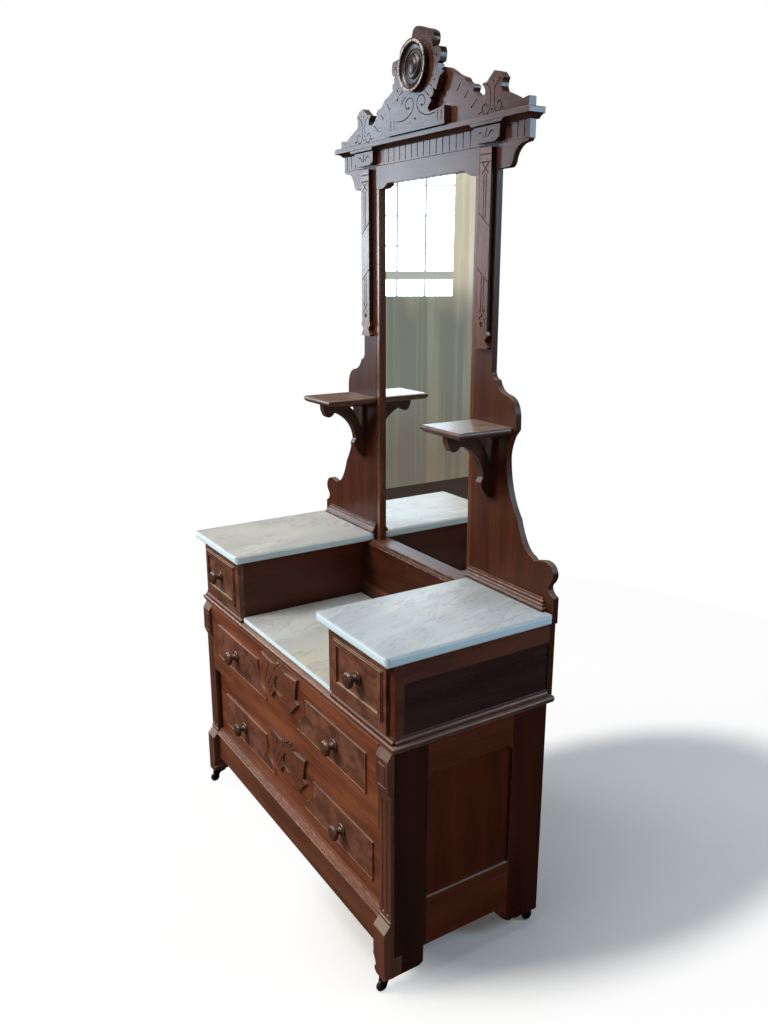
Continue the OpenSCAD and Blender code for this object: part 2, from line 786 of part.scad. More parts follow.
module right_small_knob() { color(burl) stand() small_knob(); }

module left_small_knob() { color(burl) stand() mirror([1, 0, 0]) small_knob(); }

// ---------------------------------------------------------------- casters

module at_caster(side, y) { translate([side * caster_x, y, 0]) children(); }

module caster_plates() {
  color(iron) stand() for (side = [-1, 1], y = [caster_front_y, caster_rear_y])
    at_caster(side, y) translate([0, 0, plate_z0]) difference() {
      cylinder(r = plate_d / 2, h = plate_t);
      translate([0, 0, -1]) cylinder(r = stem_r + pin_gap, h = plate_t + 2);
    }
}

// the fork trails towards the front; dir is 1 to face the front and -1 to face the back
module caster_fork(dir) {
  gap = 0.6;
  arm_x = wheel_w / 2 + gap;
  crown_t = 4;
  arm = [[8, crown_z1], [-trail - 2, crown_z1], [-trail - 5.5, wheel_r], [-trail, wheel_r - 5.5],
    [-trail + 5.5, wheel_r - 2], [-2, crown_z1 - crown_t - 5], [8, crown_z1 - crown_t]];
  points = [for (p = arm) [dir * p[0], p[1]]];
  color(iron) {
    difference() {
      union() {
        for (x = [-arm_x - fork_t, arm_x]) side_plate(points, x, fork_t);
        translate([0, 0, crown_z1 - crown_t]) cylinder(r = 9, h = crown_t);
        translate([0, 0, crown_z1 - crown_t]) cylinder(r = stem_r + 1.5, h = crown_t + 0.7);
      }
      // room for the wheel under the crown
      translate([-arm_x, dir * -trail, wheel_r]) rotate([0, 90, 0]) cylinder(r = wheel_r + 1, h = 2 * arm_x);
    }
    translate([0, 0, crown_z1 - eps]) cylinder(r = stem_r, h = stem_l + plate_t + 1);
    translate([-arm_x - fork_t - 1, dir * -trail, wheel_r]) rotate([0, 90, 0])
      cylinder(r = axle_r, h = 2 * (arm_x + fork_t + 1));
  }
}

module caster_wheel(dir) {
  crown = 2;
  outline = [[axle_r + pin_gap, -wheel_w / 2], [wheel_r - crown, -wheel_w / 2], [wheel_r, -wheel_w / 2 + crown],
    [wheel_r, wheel_w / 2 - crown], [wheel_r - crown, wheel_w / 2], [axle_r + pin_gap, wheel_w / 2]];
  color("#8d8676") translate([0, dir * -trail, wheel_r]) rotate([0, 90, 0]) rotate_extrude() polygon(outline);
}

module caster_fork_front_left() { stand() at_caster(-1, caster_front_y) caster_fork(1); }

module caster_fork_front_right() { stand() at_caster(1, caster_front_y) caster_fork(1); }

module caster_fork_rear_left() { stand() at_caster(-1, caster_rear_y) caster_fork(-1); }

module caster_fork_rear_right() { stand() at_caster(1, caster_rear_y) caster_fork(-1); }

module caster_wheel_front_left() { stand() at_caster(-1, caster_front_y) caster_wheel(1); }

module caster_wheel_front_right() { stand() at_caster(1, caster_front_y) caster_wheel(1); }

module caster_wheel_rear_left() { stand() at_caster(-1, caster_rear_y) caster_wheel(-1); }

module caster_wheel_rear_right() { stand() at_caster(1, caster_rear_y) caster_wheel(-1); }

// ---------------------------------------------------------------- well back

module well_back() {
  z1 = slab_z0 - sill_h + 3;
  color(wood) stand() block(-well_x + 0.4, well_x - 0.4, well_back_y, well_back_y + box_t, ledge_z1, z1);
}

module well_bead() {
  z = ledge_z1 + well_slab_t;
  h = well_mould_h;
  y = well_back_y;
  outline = concat([[y, z], [y - 14, z], [y - 14, z + 16]], curve([y - 12, z + 18], [y - 12, z + 24], [y - 8, z + 26]),
    [[y - 8, z + 30]], curve([y - 6, z + 31], [y - 6, z + h - 4], [y - 3, z + h - 3]), [[y - 3, z + h], [y, z + h]]);
  color(wood) stand() side_plate(outline, -well_x + 0.4, 2 * well_x - 0.8);
}

// a stepped sill from the top of the well back up to the foot of the glass
module mirror_sill() {
  z = slab_z0 - sill_h + 3;
  y = well_back_y;
  x = slab_in - slab_gap;
  outline = concat([[stand_y, z], [y - 3, z], [y - 3, z + 3]], arc(y + 2, z + 4, 4, 180, 90, 4),
    [[y + 8, z + 8], [y + 8, z + sill_h - 2], [y + 11, z + sill_h], [stand_y, z + sill_h]]);
  color(wood) stand() {
    side_plate(outline, -x, 2 * x);
    block(-glass_x + slab_gap, glass_x - slab_gap, stand_y - eps, board_y1, z, z + sill_h);
  }
}

// ---------------------------------------------------------------- mirror boards

function wing_points() = concat(
  [[glass_x, ledge_z1], [glass_x, board_z1], [neck_x, board_z1]],
  moved(concat([[0, 123]], curve([0, 118], [2, 102], [18, 100], 4), [[23, 89]], curve([25, 87], [34, 72], [60, 69], 5),
    curve([60, 69], [88, 62], [92, 26]), [[93, -5], [82, -18]], curve([80, -20], [62, -54], [65, -82]),
    curve([65, -82], [70, -158], [110, -211])), neck_x, shelf_z1),
  curve([neck_x + 110, shelf_z1 - 211], [wing_x - 110, slab_z1 + 119], [wing_x - 79, slab_z1 + 111]),
  moved(concat([[-69, 104]], curve([-69, 105], [-46, 112], [-34, 113], 4), curve([-34, 113], [-9, 112], [-4, 88]),
    curve([-4, 88], [-4, 75], [-16, 63], 5), [[-19, 59]], curve([-19, 53], [-17, 41], [0, 35], 5),
    [[0, -26]]), wing_x, slab_z1),
  [[side_x, slab_z0 - 4], [side_x, ledge_z1]]);

module wing() { front_plate(wing_points(), stand_y, board_t); }

module wing_right() { color(wood) stand() wing(); }

module wing_left() { color(wood) stand() mirror([1, 0, 0]) wing(); }

// stepped moulding on the slabs at the foot of the wings, returned at its outer end
module wing_mouldings() {
  d = wing_mould_d;
  h = wing_mould_h;
  x1 = wing_x - 19;
  z = slab_z1;
  edge = concat([[0, z], [0, z + 7]], curve([1, z + 8], [5, z + 9], [5, z + 14], 4), [[7, z + 15]],
    curve([7, z + 15], [9, z + 18], [9, z + 22], 4), [[12, z + 23], [12, z + h]]);
  color(wood) stand() both() difference() {
    three_sided(edge, x1, stand_y - d, stand_y);
    block(-x1 - 1, glass_x + 2, stand_y - d - 1, stand_y + 1, z - 1, z + h + 1);
  }
}

module mirror_glass() {
  color("#b9c6c9") stand()
    block(-glass_x + 0.3, glass_x - 0.3, board_y1 - glass_t, board_y1, slab_z0 + 3 + run_gap,
      board_z1 - top_rail_h + 20);
}

module mirror_backboard() {
  x = glass_x + backing_lap;
  color(pale_wood) stand() block(-x, x, board_y1, board_y1 + backing_t, ledge_z1 + 100, board_z1);
}

module mirror_slips() {
  z0 = slab_z0 + 3;
  z1 = board_z1 - top_rail_h;
  y = board_y1 - glass_t;
  depth = y - stand_y;
  color(dark_wood) stand() both() difference() {
    block(glass_x - slip_w, glass_x, stand_y + 1, y - run_gap, z0, z1 - 12);
    // the slip slopes from the front arris back to the glass
    translate([glass_x - slip_w - 4, stand_y - 2, z0 - 1]) rotate([0, 0, atan2(depth, -slip_w) - 180])
      translate([-4, -24, 0]) cube([40, 24, z1 - z0 + 2]);
  }
}

// the rail over the glass, with rounded shoulders and cut top corners
module top_rail() {
  z0 = board_z1 - top_rail_h;
  drop = 12;
  shoulder = 55;
  right = concat([[glass_x, board_z1], [glass_x, z0 - drop], [glass_x - shoulder + 30, z0 - drop]],
    curve([glass_x - shoulder + 30, z0 - drop], [glass_x - shoulder + 12, z0 - drop], [glass_x - shoulder, z0], 6));
  color(wood) stand() front_plate(concat(right, flipped(right)), stand_y, board_t - glass_t - run_gap);
}

module pilaster() {
  x = glass_x + 18 + pil_w / 2;
  y = stand_y - pil_t;
  z1 = board_z1 - 6;
  z0 = z1 - pil_l;
  h = pil_w / 2;
  in = h - 7;
  right = concat([[h, z1], [h, z0 + 40]], [[h + 4, z0 + 31], [h - 7, z0 + 19], [h + 3, z0 + 4], [h + 1, z0]]);
  outline = moved(concat(right, flipped(right)), x, 0);
  difference() {
    front_plate(outline, y, pil_t);
    for (z = [z1 - 14, z1 - 30]) groove([x - h, z], [x + h, z], y);
    groove([x - in, z1 - 30], [x + in, z1 - 55], y);
    groove([x + in, z1 - 30], [x - in, z1 - 55], y);
    groove([x - 4, z1 - 55], [x - 4, z1 - 150], y);
    groove([x + 4, z1 - 55], [x + 4, z1 - 150], y);
    groove([x - h, z1 - 135], [x + h, z1 - 166], y);
    groove([x - h, z1 - 255], [x + h, z1 - 285], y);
    groove([x - 4, z1 - 272], [x - 4, z1 - 350], y);
    groove([x + 4, z1 - 272], [x + 4, z1 - 350], y);
    groove([x - in, z1 - 345], [x + in, z1 - 370], y);
    groove([x + in, z1 - 345], [x - in, z1 - 370], y);
    round_pit(x, z1 - 378, y, 6);
  }
}

module mirror_pilasters() { color(dark_wood) stand() both() pilaster(); }

// ---------------------------------------------------------------- shelves

module shelf() {
  t = shelf_t;
  z0 = shelf_z1 - t;
  edge = concat([[8, z0]], curve([8, z0 + 1], [3, z0 + 2], [2, z0 + 6], 4), [[0, z0 + 7]],
    curve([0, z0 + 8], [0, z0 + t - 3], [2, z0 + t - 2], 4), [[4, z0 + t]]);
  translate([glass_x + shelf_l / 2, 0, 0]) three_sided(edge, shelf_l / 2, stand_y - shelf_d, stand_y);
}

module shelf_right() { color(wood) stand() shelf(); }

module shelf_left() { color(wood) stand() mirror([1, 0, 0]) shelf(); }

// a bracket seen from the side, drawn under a shelf for a length of 137
function bracket_edge() = concat([[0, 0], [-137, 0], [-135, -18], [-129, -32]],
  curve([-129, -32], [-120, -44], [-106, -35], 6), [[-98, -27]], curve([-98, -27], [-70, -36], [-51, -58], 6),
  curve([-51, -58], [-34, -78], [-31, -107], 6), [[-38, -119], [-36, -131], [-30, -141]],
  curve([-30, -141], [-22, -156], [-6, -161], 6), [[0, -161]]);

function bracket_hole() = concat([[-9, -14], [-48, -14]], curve([-48, -14], [-22, -36], [-12, -84], 6),
  [[-9, -84]]);

module bracket() {
  k = bracket_l / 137;
  z = shelf_z1 - shelf_t;
  difference() {
    side_plate(moved(sized(bracket_edge(), k), stand_y, z), neck_x, bracket_t);
    side_plate(moved(sized(bracket_hole(), k), stand_y, z), neck_x - 1, bracket_t + 2);
  }
}

module shelf_brackets() { color(wood) stand() both() bracket(); }

// ---------------------------------------------------------------- cornice

module frieze() {
  half = reeds / 2;
  end0 = corner_mid() + corner_w / 2;
  end_reeds = floor((frieze_x - end0) / end_reed_pitch);
  color(wood) stand() difference() {
    block(-frieze_x, frieze_x, stand_y, stand_y + frieze_t, board_z1, frieze_z1);
    for (i = [-half + 1 : half - 1]) groove([i * reed_pitch, board_z1 + 4], [i * reed_pitch, frieze_z1], stand_y);
    both() for (i = [1 : end_reeds])
      groove([end0 + i * end_reed_pitch, board_z1 + 4], [end0 + i * end_reed_pitch, frieze_z1], stand_y);
  }
}

function corner_mid() = glass_x + 39;

// blocks over the pilasters, with a small plant cut into each
module corner_blocks() {
  x0 = corner_mid() - corner_w / 2;
  x1 = corner_mid() + corner_w / 2;
  mid = corner_mid();
  z0 = board_z1 + 3;
  z1 = frieze_z1;
  y = stand_y - corner_t;
  cut_x = 15;
  cut_z = 8;
  outline = [[x0, z1], [x0, z0 + cut_z], [x0 + cut_x, z0], [x1 - cut_x, z0], [x1, z0 + cut_z], [x1, z1]];
  arm = [[6.5, 11], [11.5, 18], [15, 21.5], [19.5, 22.5], [25, 20.5]];
  color(wood) stand() both() difference() {
    front_plate(outline, y, corner_t);
    groove([mid, z0 + 10], [mid, z0 + 31], y);
    curved_groove(moved(arm, mid, z0), y);
    curved_groove(moved(flipped(arm), mid, z0), y);
  }
}

module end_brackets() {
  l = end_bracket_l;
  h = end_bracket_h;
  outline = moved(concat([[0, 0], [l, 0], [l - 4, -6], [l - 16, -7]],
    curve([l - 16, -7], [l - 38, -8], [l - 50, -32], 7), curve([l - 50, -32], [l - 52, -48], [l - 62, -h], 5),
    [[0, -h]]), neck_x, board_z1);
  color(wood) stand() both() front_plate(outline, stand_y, board_t - 1);
}

// the lip, the cove under it and the dropped part over each corner block
module cornice() {
  z0 = frieze_z1;
  z1 = cornice_z1;
  y0 = stand_y - cornice_front;
  edge = concat(curve([cornice_front - 4, z0], [cornice_front - 7, z0 + cove_h - 2], [5, z0 + cove_h], 6),
    [[1, z0 + cove_h], [0, z0 + cove_h + 1], [0, z1 - 1.5], [1.5, z1]]);
  low = z0 + cove_h - cornice_drop;
  d0 = corner_mid() - corner_w / 2 - 12;
  d1 = corner_mid() + corner_w / 2 + 22;
  drop_outline = concat(curve([d0, z0 + cove_h], [d0 + 8, z0 + cove_h], [d0 + 10, low], 5),
    curve([d1 - 10, low], [d1 - 8, z0 + cove_h], [d1, z0 + cove_h], 5));
  color(wood) stand() {
    three_sided(edge, cornice_x, y0, cornice_y1);
    both() front_plate(drop_outline, y0, cornice_front);
  }
}

// ---------------------------------------------------------------- crest

// right half of the crest board above the cornice, drawn for a half width of 388.5
function crest_edge() = concat([[0, 130], [74, 130], [100, 123], [119, 113]],
  curve([130, 106], [148, 97], [160, 94], 4), curve([160, 94], [168, 92], [174, 82], 4),
  curve([182, 77], [190, 75], [196, 74], 3), curve([196, 74], [210, 68], [202, 61], 4), [[201, 57], [220, 44]],
  curve([228, 43], [247, 41], [243, 52], 5), curve([243, 52], [241, 60], [231.5, 66], 5),
  [[239, 68], [248, 68]], curve([248, 68], [258, 76], [273, 87], 4), [[291, 82], [304, 69]],
  curve([304, 69], [298, 62], [299, 50], 4), [[303, 42]], curve([303, 42], [335, 30], [355, 19], 6),
  curve([355, 19], [362, 13], [374, 19], 4), [[388.5, 21], [388.5, 0]]);

// incised lines of the finial on each shoulder: a stem that opens at the top and curls in at the foot
function left_stem() = concat([[248, 64.6], [261.7, 53], [261.7, 35]], spiral(246, 16.7, 15.7, 6, 0, -330));
function right_stem() = concat([[295, 70.9], [275.8, 53], [275.8, 35]], spiral(290.6, 17, 14.8, 6, 180, 510));

module crest_board() {
  k = crest_x / 388.5;
  z = cornice_z1;
  y = stand_y - 7.5;
  right = moved(sized(crest_edge(), k), 0, z);
  color(dark_wood) stand() difference() {
    front_plate(concat([for (i = [len(right) - 1 : -1 : 1]) right[i]], [for (p = right) [-p[0], p[1]]]), y, crest_t);
    both() {
      for (line = [left_stem(), right_stem()]) curved_groove(moved(sized(line, k), 0, z), y);
      for (tick = [[142.5, 68.8, 154.4, 82.3], [171, 49.4, 183.5, 61.5], [197, 25.7, 215.8, 39]]) {
        groove([k * tick[0], z + k * tick[1]], [k * tick[2], z + k * tick[3]], y);
        round_pit(k * tick[0], z + k * tick[1], y, 2.2);
      }
      groove([k * 233, z + k * 10.5], [k * 224, z + k * 7], y);
      groove([k * 304, z + k * 11], [k * 314, z + k * 7], y);
      round_pit(k * 268.4, z + k * 11, y, 2.4);
      round_pit(k * 270.4, z + k * 67.3, y, 2.4);
    }
  }
}

// right half of the applied centre board above its plinth, drawn for a half width of 118
function applique_edge() = concat([[118, 0], [118, 33], [100, 30], [58, 26.5], [52, 37], [66, 49], [61, 57]],
  [[68, 58], [74, 63], [75, 71], [71, 77], [84, 70], [100, 99], [100, 109], [92, 111], [92, 124], [84, 126]],
  [[99, 128]], curve([100, 132], [106, 145], [98, 158], 4), [[84, 160], [70, 161], [68, 170]],
  curve([67, 175], [60, 186], [50, 190], 4), [[30, 197], [0, 199]]);

// the scroll cut into each half of the applied board
function scroll() = concat([[84, 23], [60, 20.5]], curve([42, 23], [3, 34], [7, 55], 7),
  curve([9.5, 61], [16, 70], [27, 67.5], 5), curve([32, 66], [44, 60], [41, 50], 5), [[36, 45], [28, 46]]);

module crest_applique() {
  k = applique_x / 118;
  z = cornice_z1 + 7 * k;
  y = stand_y - 7.5 - applique_t;
  right = moved(sized(applique_edge(), k), 0, z);
  foot = applique_x + 5 * k;
  color(wood) stand() difference() {
    union() {
      front_plate(concat(right, [for (i = [len(right) - 2 : -1 : 0]) [-right[i][0], right[i][1]]]), y, applique_t);
      front_plate([[-foot, cornice_z1], [foot, cornice_z1], [foot, z], [-foot, z]], y - 3, applique_t + 3);
    }
    both() {
      for (x = [92, 107]) groove([k * x, z + 4 * k], [k * x, z + 28 * k], y);
      curved_groove(moved(sized(scroll(), k), 0, z), y);
      groove([43 * k, z + 72 * k], [58 * k, z + 60 * k], y);
      groove([55 * k, z + 88 * k], [68.5 * k, z + 79.5 * k], y);
      round_pit(27 * k, z + 46 * k, y, 3);
      round_pit(77 * k, z + 92 * k, y, 2.6);
      round_pit(85 * k, z + 142 * k, y, 2.6);
    }
    round_pit(0, z + 19 * k, y, 3);
  }
}

// a turned ring with a deep bowl, a sunk ring and a dome, notched round its rim
module roundel() {
  rr = roundel_r;
  t = roundel_t;
  rim = 5;
  notches = 10;
  outline = concat([[0, 0], [rr - 1, 0], [rr, 1], [rr, t - 1], [rr - 1, t], [rr - rim, t], [rr - rim - 1, t - 1]],
    curve([rr - rim - 2, t - 3], [rr - rim - 4, t - 8], [rr - 18, t - 9]), [[rr - 19, t - 7], [rr - 21, t - 7]],
    [[rr - 22, t - 9.5]], curve([rr - 27, t - 9.5], [rr - 29, t - 5], [rr - 36, t - 4]),
    [[rr - 37, t - 5]], curve([rr - 39, t - 5], [rr - 42, t - 1.5], [0, t - 1.5]));
  color(wood) stand() translate([0, stand_y - 7.5 - applique_t, roundel_z]) rotate([90, 0, 0]) difference() {
    rotate_extrude($fn = 72) polygon(outline);
    for (i = [0 : notches - 1]) rotate([0, 0, 86 + i * 360 / notches])
      translate([rr - rim - 4, -1.2, t - 2.2]) cube([rim + 5, 2.4, 3]);
  }
}

// two lobes with a rib between them, leaning over the roundel; drawn for a half width of 46
module crown() {
  k = crown_x / 46;
  y = stand_y - 7.5;
  shift = 9;
  foot_x = 34;
  edge = concat([[36, -58], [41, -34], [46, -26]], curve([46, -26], [50, -8], [34, -1], 5),
    [[18, 1], [9, -2], [5, -5]]);
  right = sized(edge, k);
  color(wood) stand() {
    front_plate([[-foot_x, cornice_z1 + crest_mid], [foot_x, cornice_z1 + crest_mid], [foot_x, roundel_z + 40],
      [-foot_x, roundel_z + 40]], y, crest_t);
    translate([shift, 0, roundel_z + crown_up]) rotate([0, crown_tilt, 0]) difference() {
      front_plate(concat(right, flipped(right)), y, crest_t);
      both() {
        groove([5.5 * k, -10 * k], [5.5 * k, -46 * k], y);
        round_pit(25 * k, -20 * k, y, 2.6);
      }
    }
  }
}

case_side_left();
case_side_right();
side_panels();
case_back();
dust_boards();
top_blocks();
fluted_pilasters();
front_feet();
apron();
base_moulding();
ledge_moulding();
well_marble();
marble_left();
marble_right();
glove_box_left();
glove_box_right();
well_back();
well_bead();
mirror_sill();
wing_left();
wing_right();
wing_mouldings();
mirror_glass();
mirror_backboard();
mirror_slips();
top_rail();
mirror_pilasters();
shelf_left();
shelf_right();
shelf_brackets();
frieze();
corner_blocks();
end_brackets();
cornice();
crest_board();
crest_applique();
roundel();
crown();
upper_drawer_front();
upper_drawer_box();
upper_ornament();
upper_knobs();
lower_drawer_front();
lower_drawer_box();
lower_ornament();
lower_knobs();
left_small_drawer();
left_small_knob();
right_small_drawer();
right_small_knob();
caster_plates();
caster_fork_front_left();
caster_fork_front_right();
caster_fork_rear_left();
caster_fork_rear_right();
caster_wheel_front_left();
caster_wheel_front_right();
caster_wheel_rear_left();
caster_wheel_rear_right();
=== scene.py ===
"""The looks of a walnut washstand with marble slabs, drawers and a tall crested mirror."""
import json
import math

import bmesh
import bpy
from mathutils import Matrix, Vector


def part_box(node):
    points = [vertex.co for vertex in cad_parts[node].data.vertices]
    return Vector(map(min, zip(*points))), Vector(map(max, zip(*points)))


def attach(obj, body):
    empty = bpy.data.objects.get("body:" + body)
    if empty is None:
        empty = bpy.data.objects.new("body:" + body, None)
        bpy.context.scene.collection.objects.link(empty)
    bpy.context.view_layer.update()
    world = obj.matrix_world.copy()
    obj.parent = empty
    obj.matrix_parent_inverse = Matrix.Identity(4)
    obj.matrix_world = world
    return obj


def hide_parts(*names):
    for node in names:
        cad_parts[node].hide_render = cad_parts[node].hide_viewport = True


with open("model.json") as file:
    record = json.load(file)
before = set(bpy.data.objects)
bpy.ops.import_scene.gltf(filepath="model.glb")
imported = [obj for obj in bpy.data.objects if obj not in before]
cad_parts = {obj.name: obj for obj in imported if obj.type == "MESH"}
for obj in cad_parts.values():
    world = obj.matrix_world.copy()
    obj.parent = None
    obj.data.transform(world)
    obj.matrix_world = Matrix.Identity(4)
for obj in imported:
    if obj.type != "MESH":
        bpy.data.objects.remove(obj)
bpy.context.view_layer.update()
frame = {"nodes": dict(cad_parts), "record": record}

# The camera, solved from the photograph: its place in metres, its turn, its lens and its width in millimetres
CAMERA_PLACE = (1.8774, -1.0719, 1.5601)
CAMERA_YAW, CAMERA_PITCH, CAMERA_ROLL = math.radians(57.92), math.radians(-15.30), math.radians(0.08)
CAMERA_LENS, SENSOR_WIDTH = 30.84, 36.0

MM = 0.001

# How wide the arrises are worn round, in how many faces, and from which angle an edge counts as one
ARRIS = 1.2 * MM
FINE_ARRIS = 0.5 * MM
# The ledge's arrises are rounded wider so that their rubbed colour, partly a painted highlight, shows as a
# line
LEDGE_ARRIS = 2.0 * MM
ARRIS_SEGMENTS = 2
SHARP_ANGLE = math.radians(28)

# Points closer than this are one point, and faces that turn less than this are one face
SAME_PLACE = 0.002 * MM
FLAT_ANGLE = math.radians(0.6)

# How far behind a face the walls and floors of the lines cut into it lie
CUT_LEAST, CUT_MOST = 0.5 * MM, 2.2 * MM

# ---------------------------------------------------------------- shader node groups


class Graph:
    """Adds nodes to one node tree, each with its settings and its inputs."""

    def __init__(self, tree):
        self.tree = tree

    def add(self, kind, inputs=None, **settings):
        """Adds one node; an input is a value or the socket that feeds it."""
        node = self.tree.nodes.new(kind)
        for name, value in settings.items():
            setattr(node, name, value)
        for key, value in (inputs or {}).items():
            if isinstance(value, bpy.types.NodeSocket):
                self.tree.links.new(value, node.inputs[key])
            else:
                node.inputs[key].default_value = value
        return node

    def math(self, operation, a, b=0.0, clamp=False):
        """One sum on two values."""
        return self.add("ShaderNodeMath", {0: a, 1: b}, operation=operation, use_clamp=clamp).outputs[0]

    def noise(self, vector, scale, detail=4.0, roughness=0.55, distortion=0.0):
        """A grey noise over the surface."""
        inputs = {"Vector": vector, "Scale": scale, "Detail": detail, "Roughness": roughness,
                  "Distortion": distortion}
        return self.add("ShaderNodeTexNoise", inputs).outputs["Fac"]

    def step(self, value, low, high, to_low=0.0, to_high=1.0):
        """A soft step between two output values as the input passes from low to high."""
        inputs = {"Value": value, "From Min": low, "From Max": high, "To Min": to_low, "To Max": to_high}
        return self.add("ShaderNodeMapRange", inputs, clamp=True, interpolation_type="SMOOTHSTEP").outputs[0]

    def mix(self, factor, a, b):
        """One colour over another."""
        return self.add("ShaderNodeMix", {0: factor, 6: a, 7: b}, data_type="RGBA").outputs[2]

    def stretch(self, vector, scale):
        """A place scaled along its axes, which draws a pattern out along the smallest."""
        return self.add("ShaderNodeMapping", {"Vector": vector, "Scale": scale}).outputs[0]


def shader_group(name, inputs, outputs):
    """An empty node group with these named inputs and outputs, its graph, and its two end nodes."""
    tree = bpy.data.node_groups.new(name, "ShaderNodeTree")
    for label, kind, value in inputs:
        socket = tree.interface.new_socket(name=label, in_out="INPUT", socket_type=kind)
        if value is not None:
            socket.default_value = value
    for label, kind in outputs:
        tree.interface.new_socket(name=label, in_out="OUTPUT", socket_type=kind)
    graph = Graph(tree)
    return tree, graph, graph.add("NodeGroupInput"), graph.add("NodeGroupOutput")


FLOAT, VECTOR = "NodeSocketFloat", "NodeSocketVector"


def wood_grain_group():
    """Slow tonal bands, fine fibres and short pores along the Z axis of the vector."""
    tree, g, start, end = shader_group(
        "wood grain",
        [("Vector", VECTOR, None), ("Band scale", FLOAT, 9.0), ("Waviness", FLOAT, 3.0)],
        [("Bands", FLOAT), ("Fibres", FLOAT), ("Pores", FLOAT), ("Cloud", FLOAT)])
    v = start.outputs["Vector"]
    drift = g.noise(g.stretch(v, (1, 1, 0.22)), 3.2, 3.0, 0.5)
    bands = g.add("ShaderNodeTexWave", {
        "Vector": g.stretch(v, (1, 0.8, 0.06)), "Scale": start.outputs["Band scale"],
        "Distortion": start.outputs["Waviness"], "Detail": 4.0, "Detail Scale": 2.2,
        "Detail Roughness": 0.65, "Phase Offset": g.math("MULTIPLY", drift, 9.0)},
        wave_type="BANDS", bands_direction="DIAGONAL").outputs["Fac"]
    fibres = g.noise(g.stretch(v, (1, 1, 0.035)), 240.0, 5.0, 0.66)
    pores = g.step(g.noise(g.stretch(v, (1, 1, 0.05)), 900.0, 2.0, 0.5), 0.60, 0.70)
    cloud = g.noise(g.stretch(v, (1, 1, 0.45)), 6.0, 4.0, 0.55)
    for label, value in (("Bands", bands), ("Fibres", fibres), ("Pores", pores), ("Cloud", cloud)):
        g.tree.links.new(value, end.inputs[label])
    return tree


def edge_wear_group():
    """Where the finish is rubbed thin: on the arrises that the mesh marks as edge."""
    tree, g, start, end = shader_group(
        "edge wear", [("Vector", VECTOR, None), ("Amount", FLOAT, 0.5)], [("Wear", FLOAT)])
    edge = g.add("ShaderNodeAttribute", attribute_name="edge").outputs["Fac"]
    patches = g.step(g.noise(start.outputs["Vector"], 48.0, 6.0, 0.72), 0.42, 0.64)
    wear = g.math("MULTIPLY", edge, g.math("MULTIPLY", patches, start.outputs["Amount"]), True)
    g.tree.links.new(wear, end.inputs["Wear"])
    return tree


def handling_group():
    """Rubbing in the varnish: a slow change of gloss, small scuffs and a few pale nicks."""
    tree, g, start, end = shader_group(
        "handled varnish",
        [("Vector", VECTOR, None), ("Roughness", FLOAT, 0.35), ("Spread", FLOAT, 0.14)],
        [("Roughness", FLOAT), ("Scuffs", FLOAT), ("Nicks", FLOAT)])
    v = start.outputs["Vector"]
    cloud = g.math("SUBTRACT", g.noise(v, 9.0, 4.0, 0.6), 0.5)
    rough = g.math("ADD", start.outputs["Roughness"], g.math("MULTIPLY", cloud, start.outputs["Spread"]))
    scuffs = g.step(g.noise(v, 75.0, 6.0, 0.72, 0.4), 0.66, 0.78)
    spots = g.add("ShaderNodeTexVoronoi", {"Vector": v, "Scale": 42.0})
    few = g.step(g.add("ShaderNodeSeparateColor", {0: spots.outputs["Color"]}).outputs[0], 0.93, 0.94)
    nicks = g.math("MULTIPLY", g.step(spots.outputs["Distance"], 0.03, 0.07, 1.0, 0.0), few)
    g.tree.links.new(g.math("ADD", rough, g.math("MULTIPLY", scuffs, 0.15), True), end.inputs["Roughness"])
    g.tree.links.new(scuffs, end.inputs["Scuffs"])
    g.tree.links.new(nicks, end.inputs["Nicks"])
    return tree


def dust_and_top_light_group():
    """Old dust on faces that look up, thickest in patches; its pale colour also paints the light that falls
    on top faces.
    """
    tree, g, start, end = shader_group(
        "pale on top", [("Vector", VECTOR, None), ("Amount", FLOAT, 0.5)], [("Pale on top", FLOAT)])
    up = g.add("ShaderNodeSeparateXYZ", {0: g.add("ShaderNodeNewGeometry").outputs["Normal"]}).outputs[2]
    patches = g.step(g.noise(start.outputs["Vector"], 22.0, 5.0, 0.65), 0.25, 0.62, 0.45, 1.0)
    amount = g.math("MULTIPLY", patches, start.outputs["Amount"])
    g.tree.links.new(g.math("MULTIPLY", g.step(up, 0.35, 0.85), amount, True), end.inputs["Pale on top"])
    return tree


def carved_line_group():
    """The floor and walls of incised lines, which the mesh marks as cut."""
    tree, g, start, end = shader_group("carved line", [("Depth", FLOAT, 1.0)], [("Line", FLOAT)])
    cut = g.add("ShaderNodeAttribute", attribute_name="cut").outputs["Fac"]
    g.tree.links.new(g.math("MULTIPLY", cut, start.outputs["Depth"], True), end.inputs["Line"])
    return tree


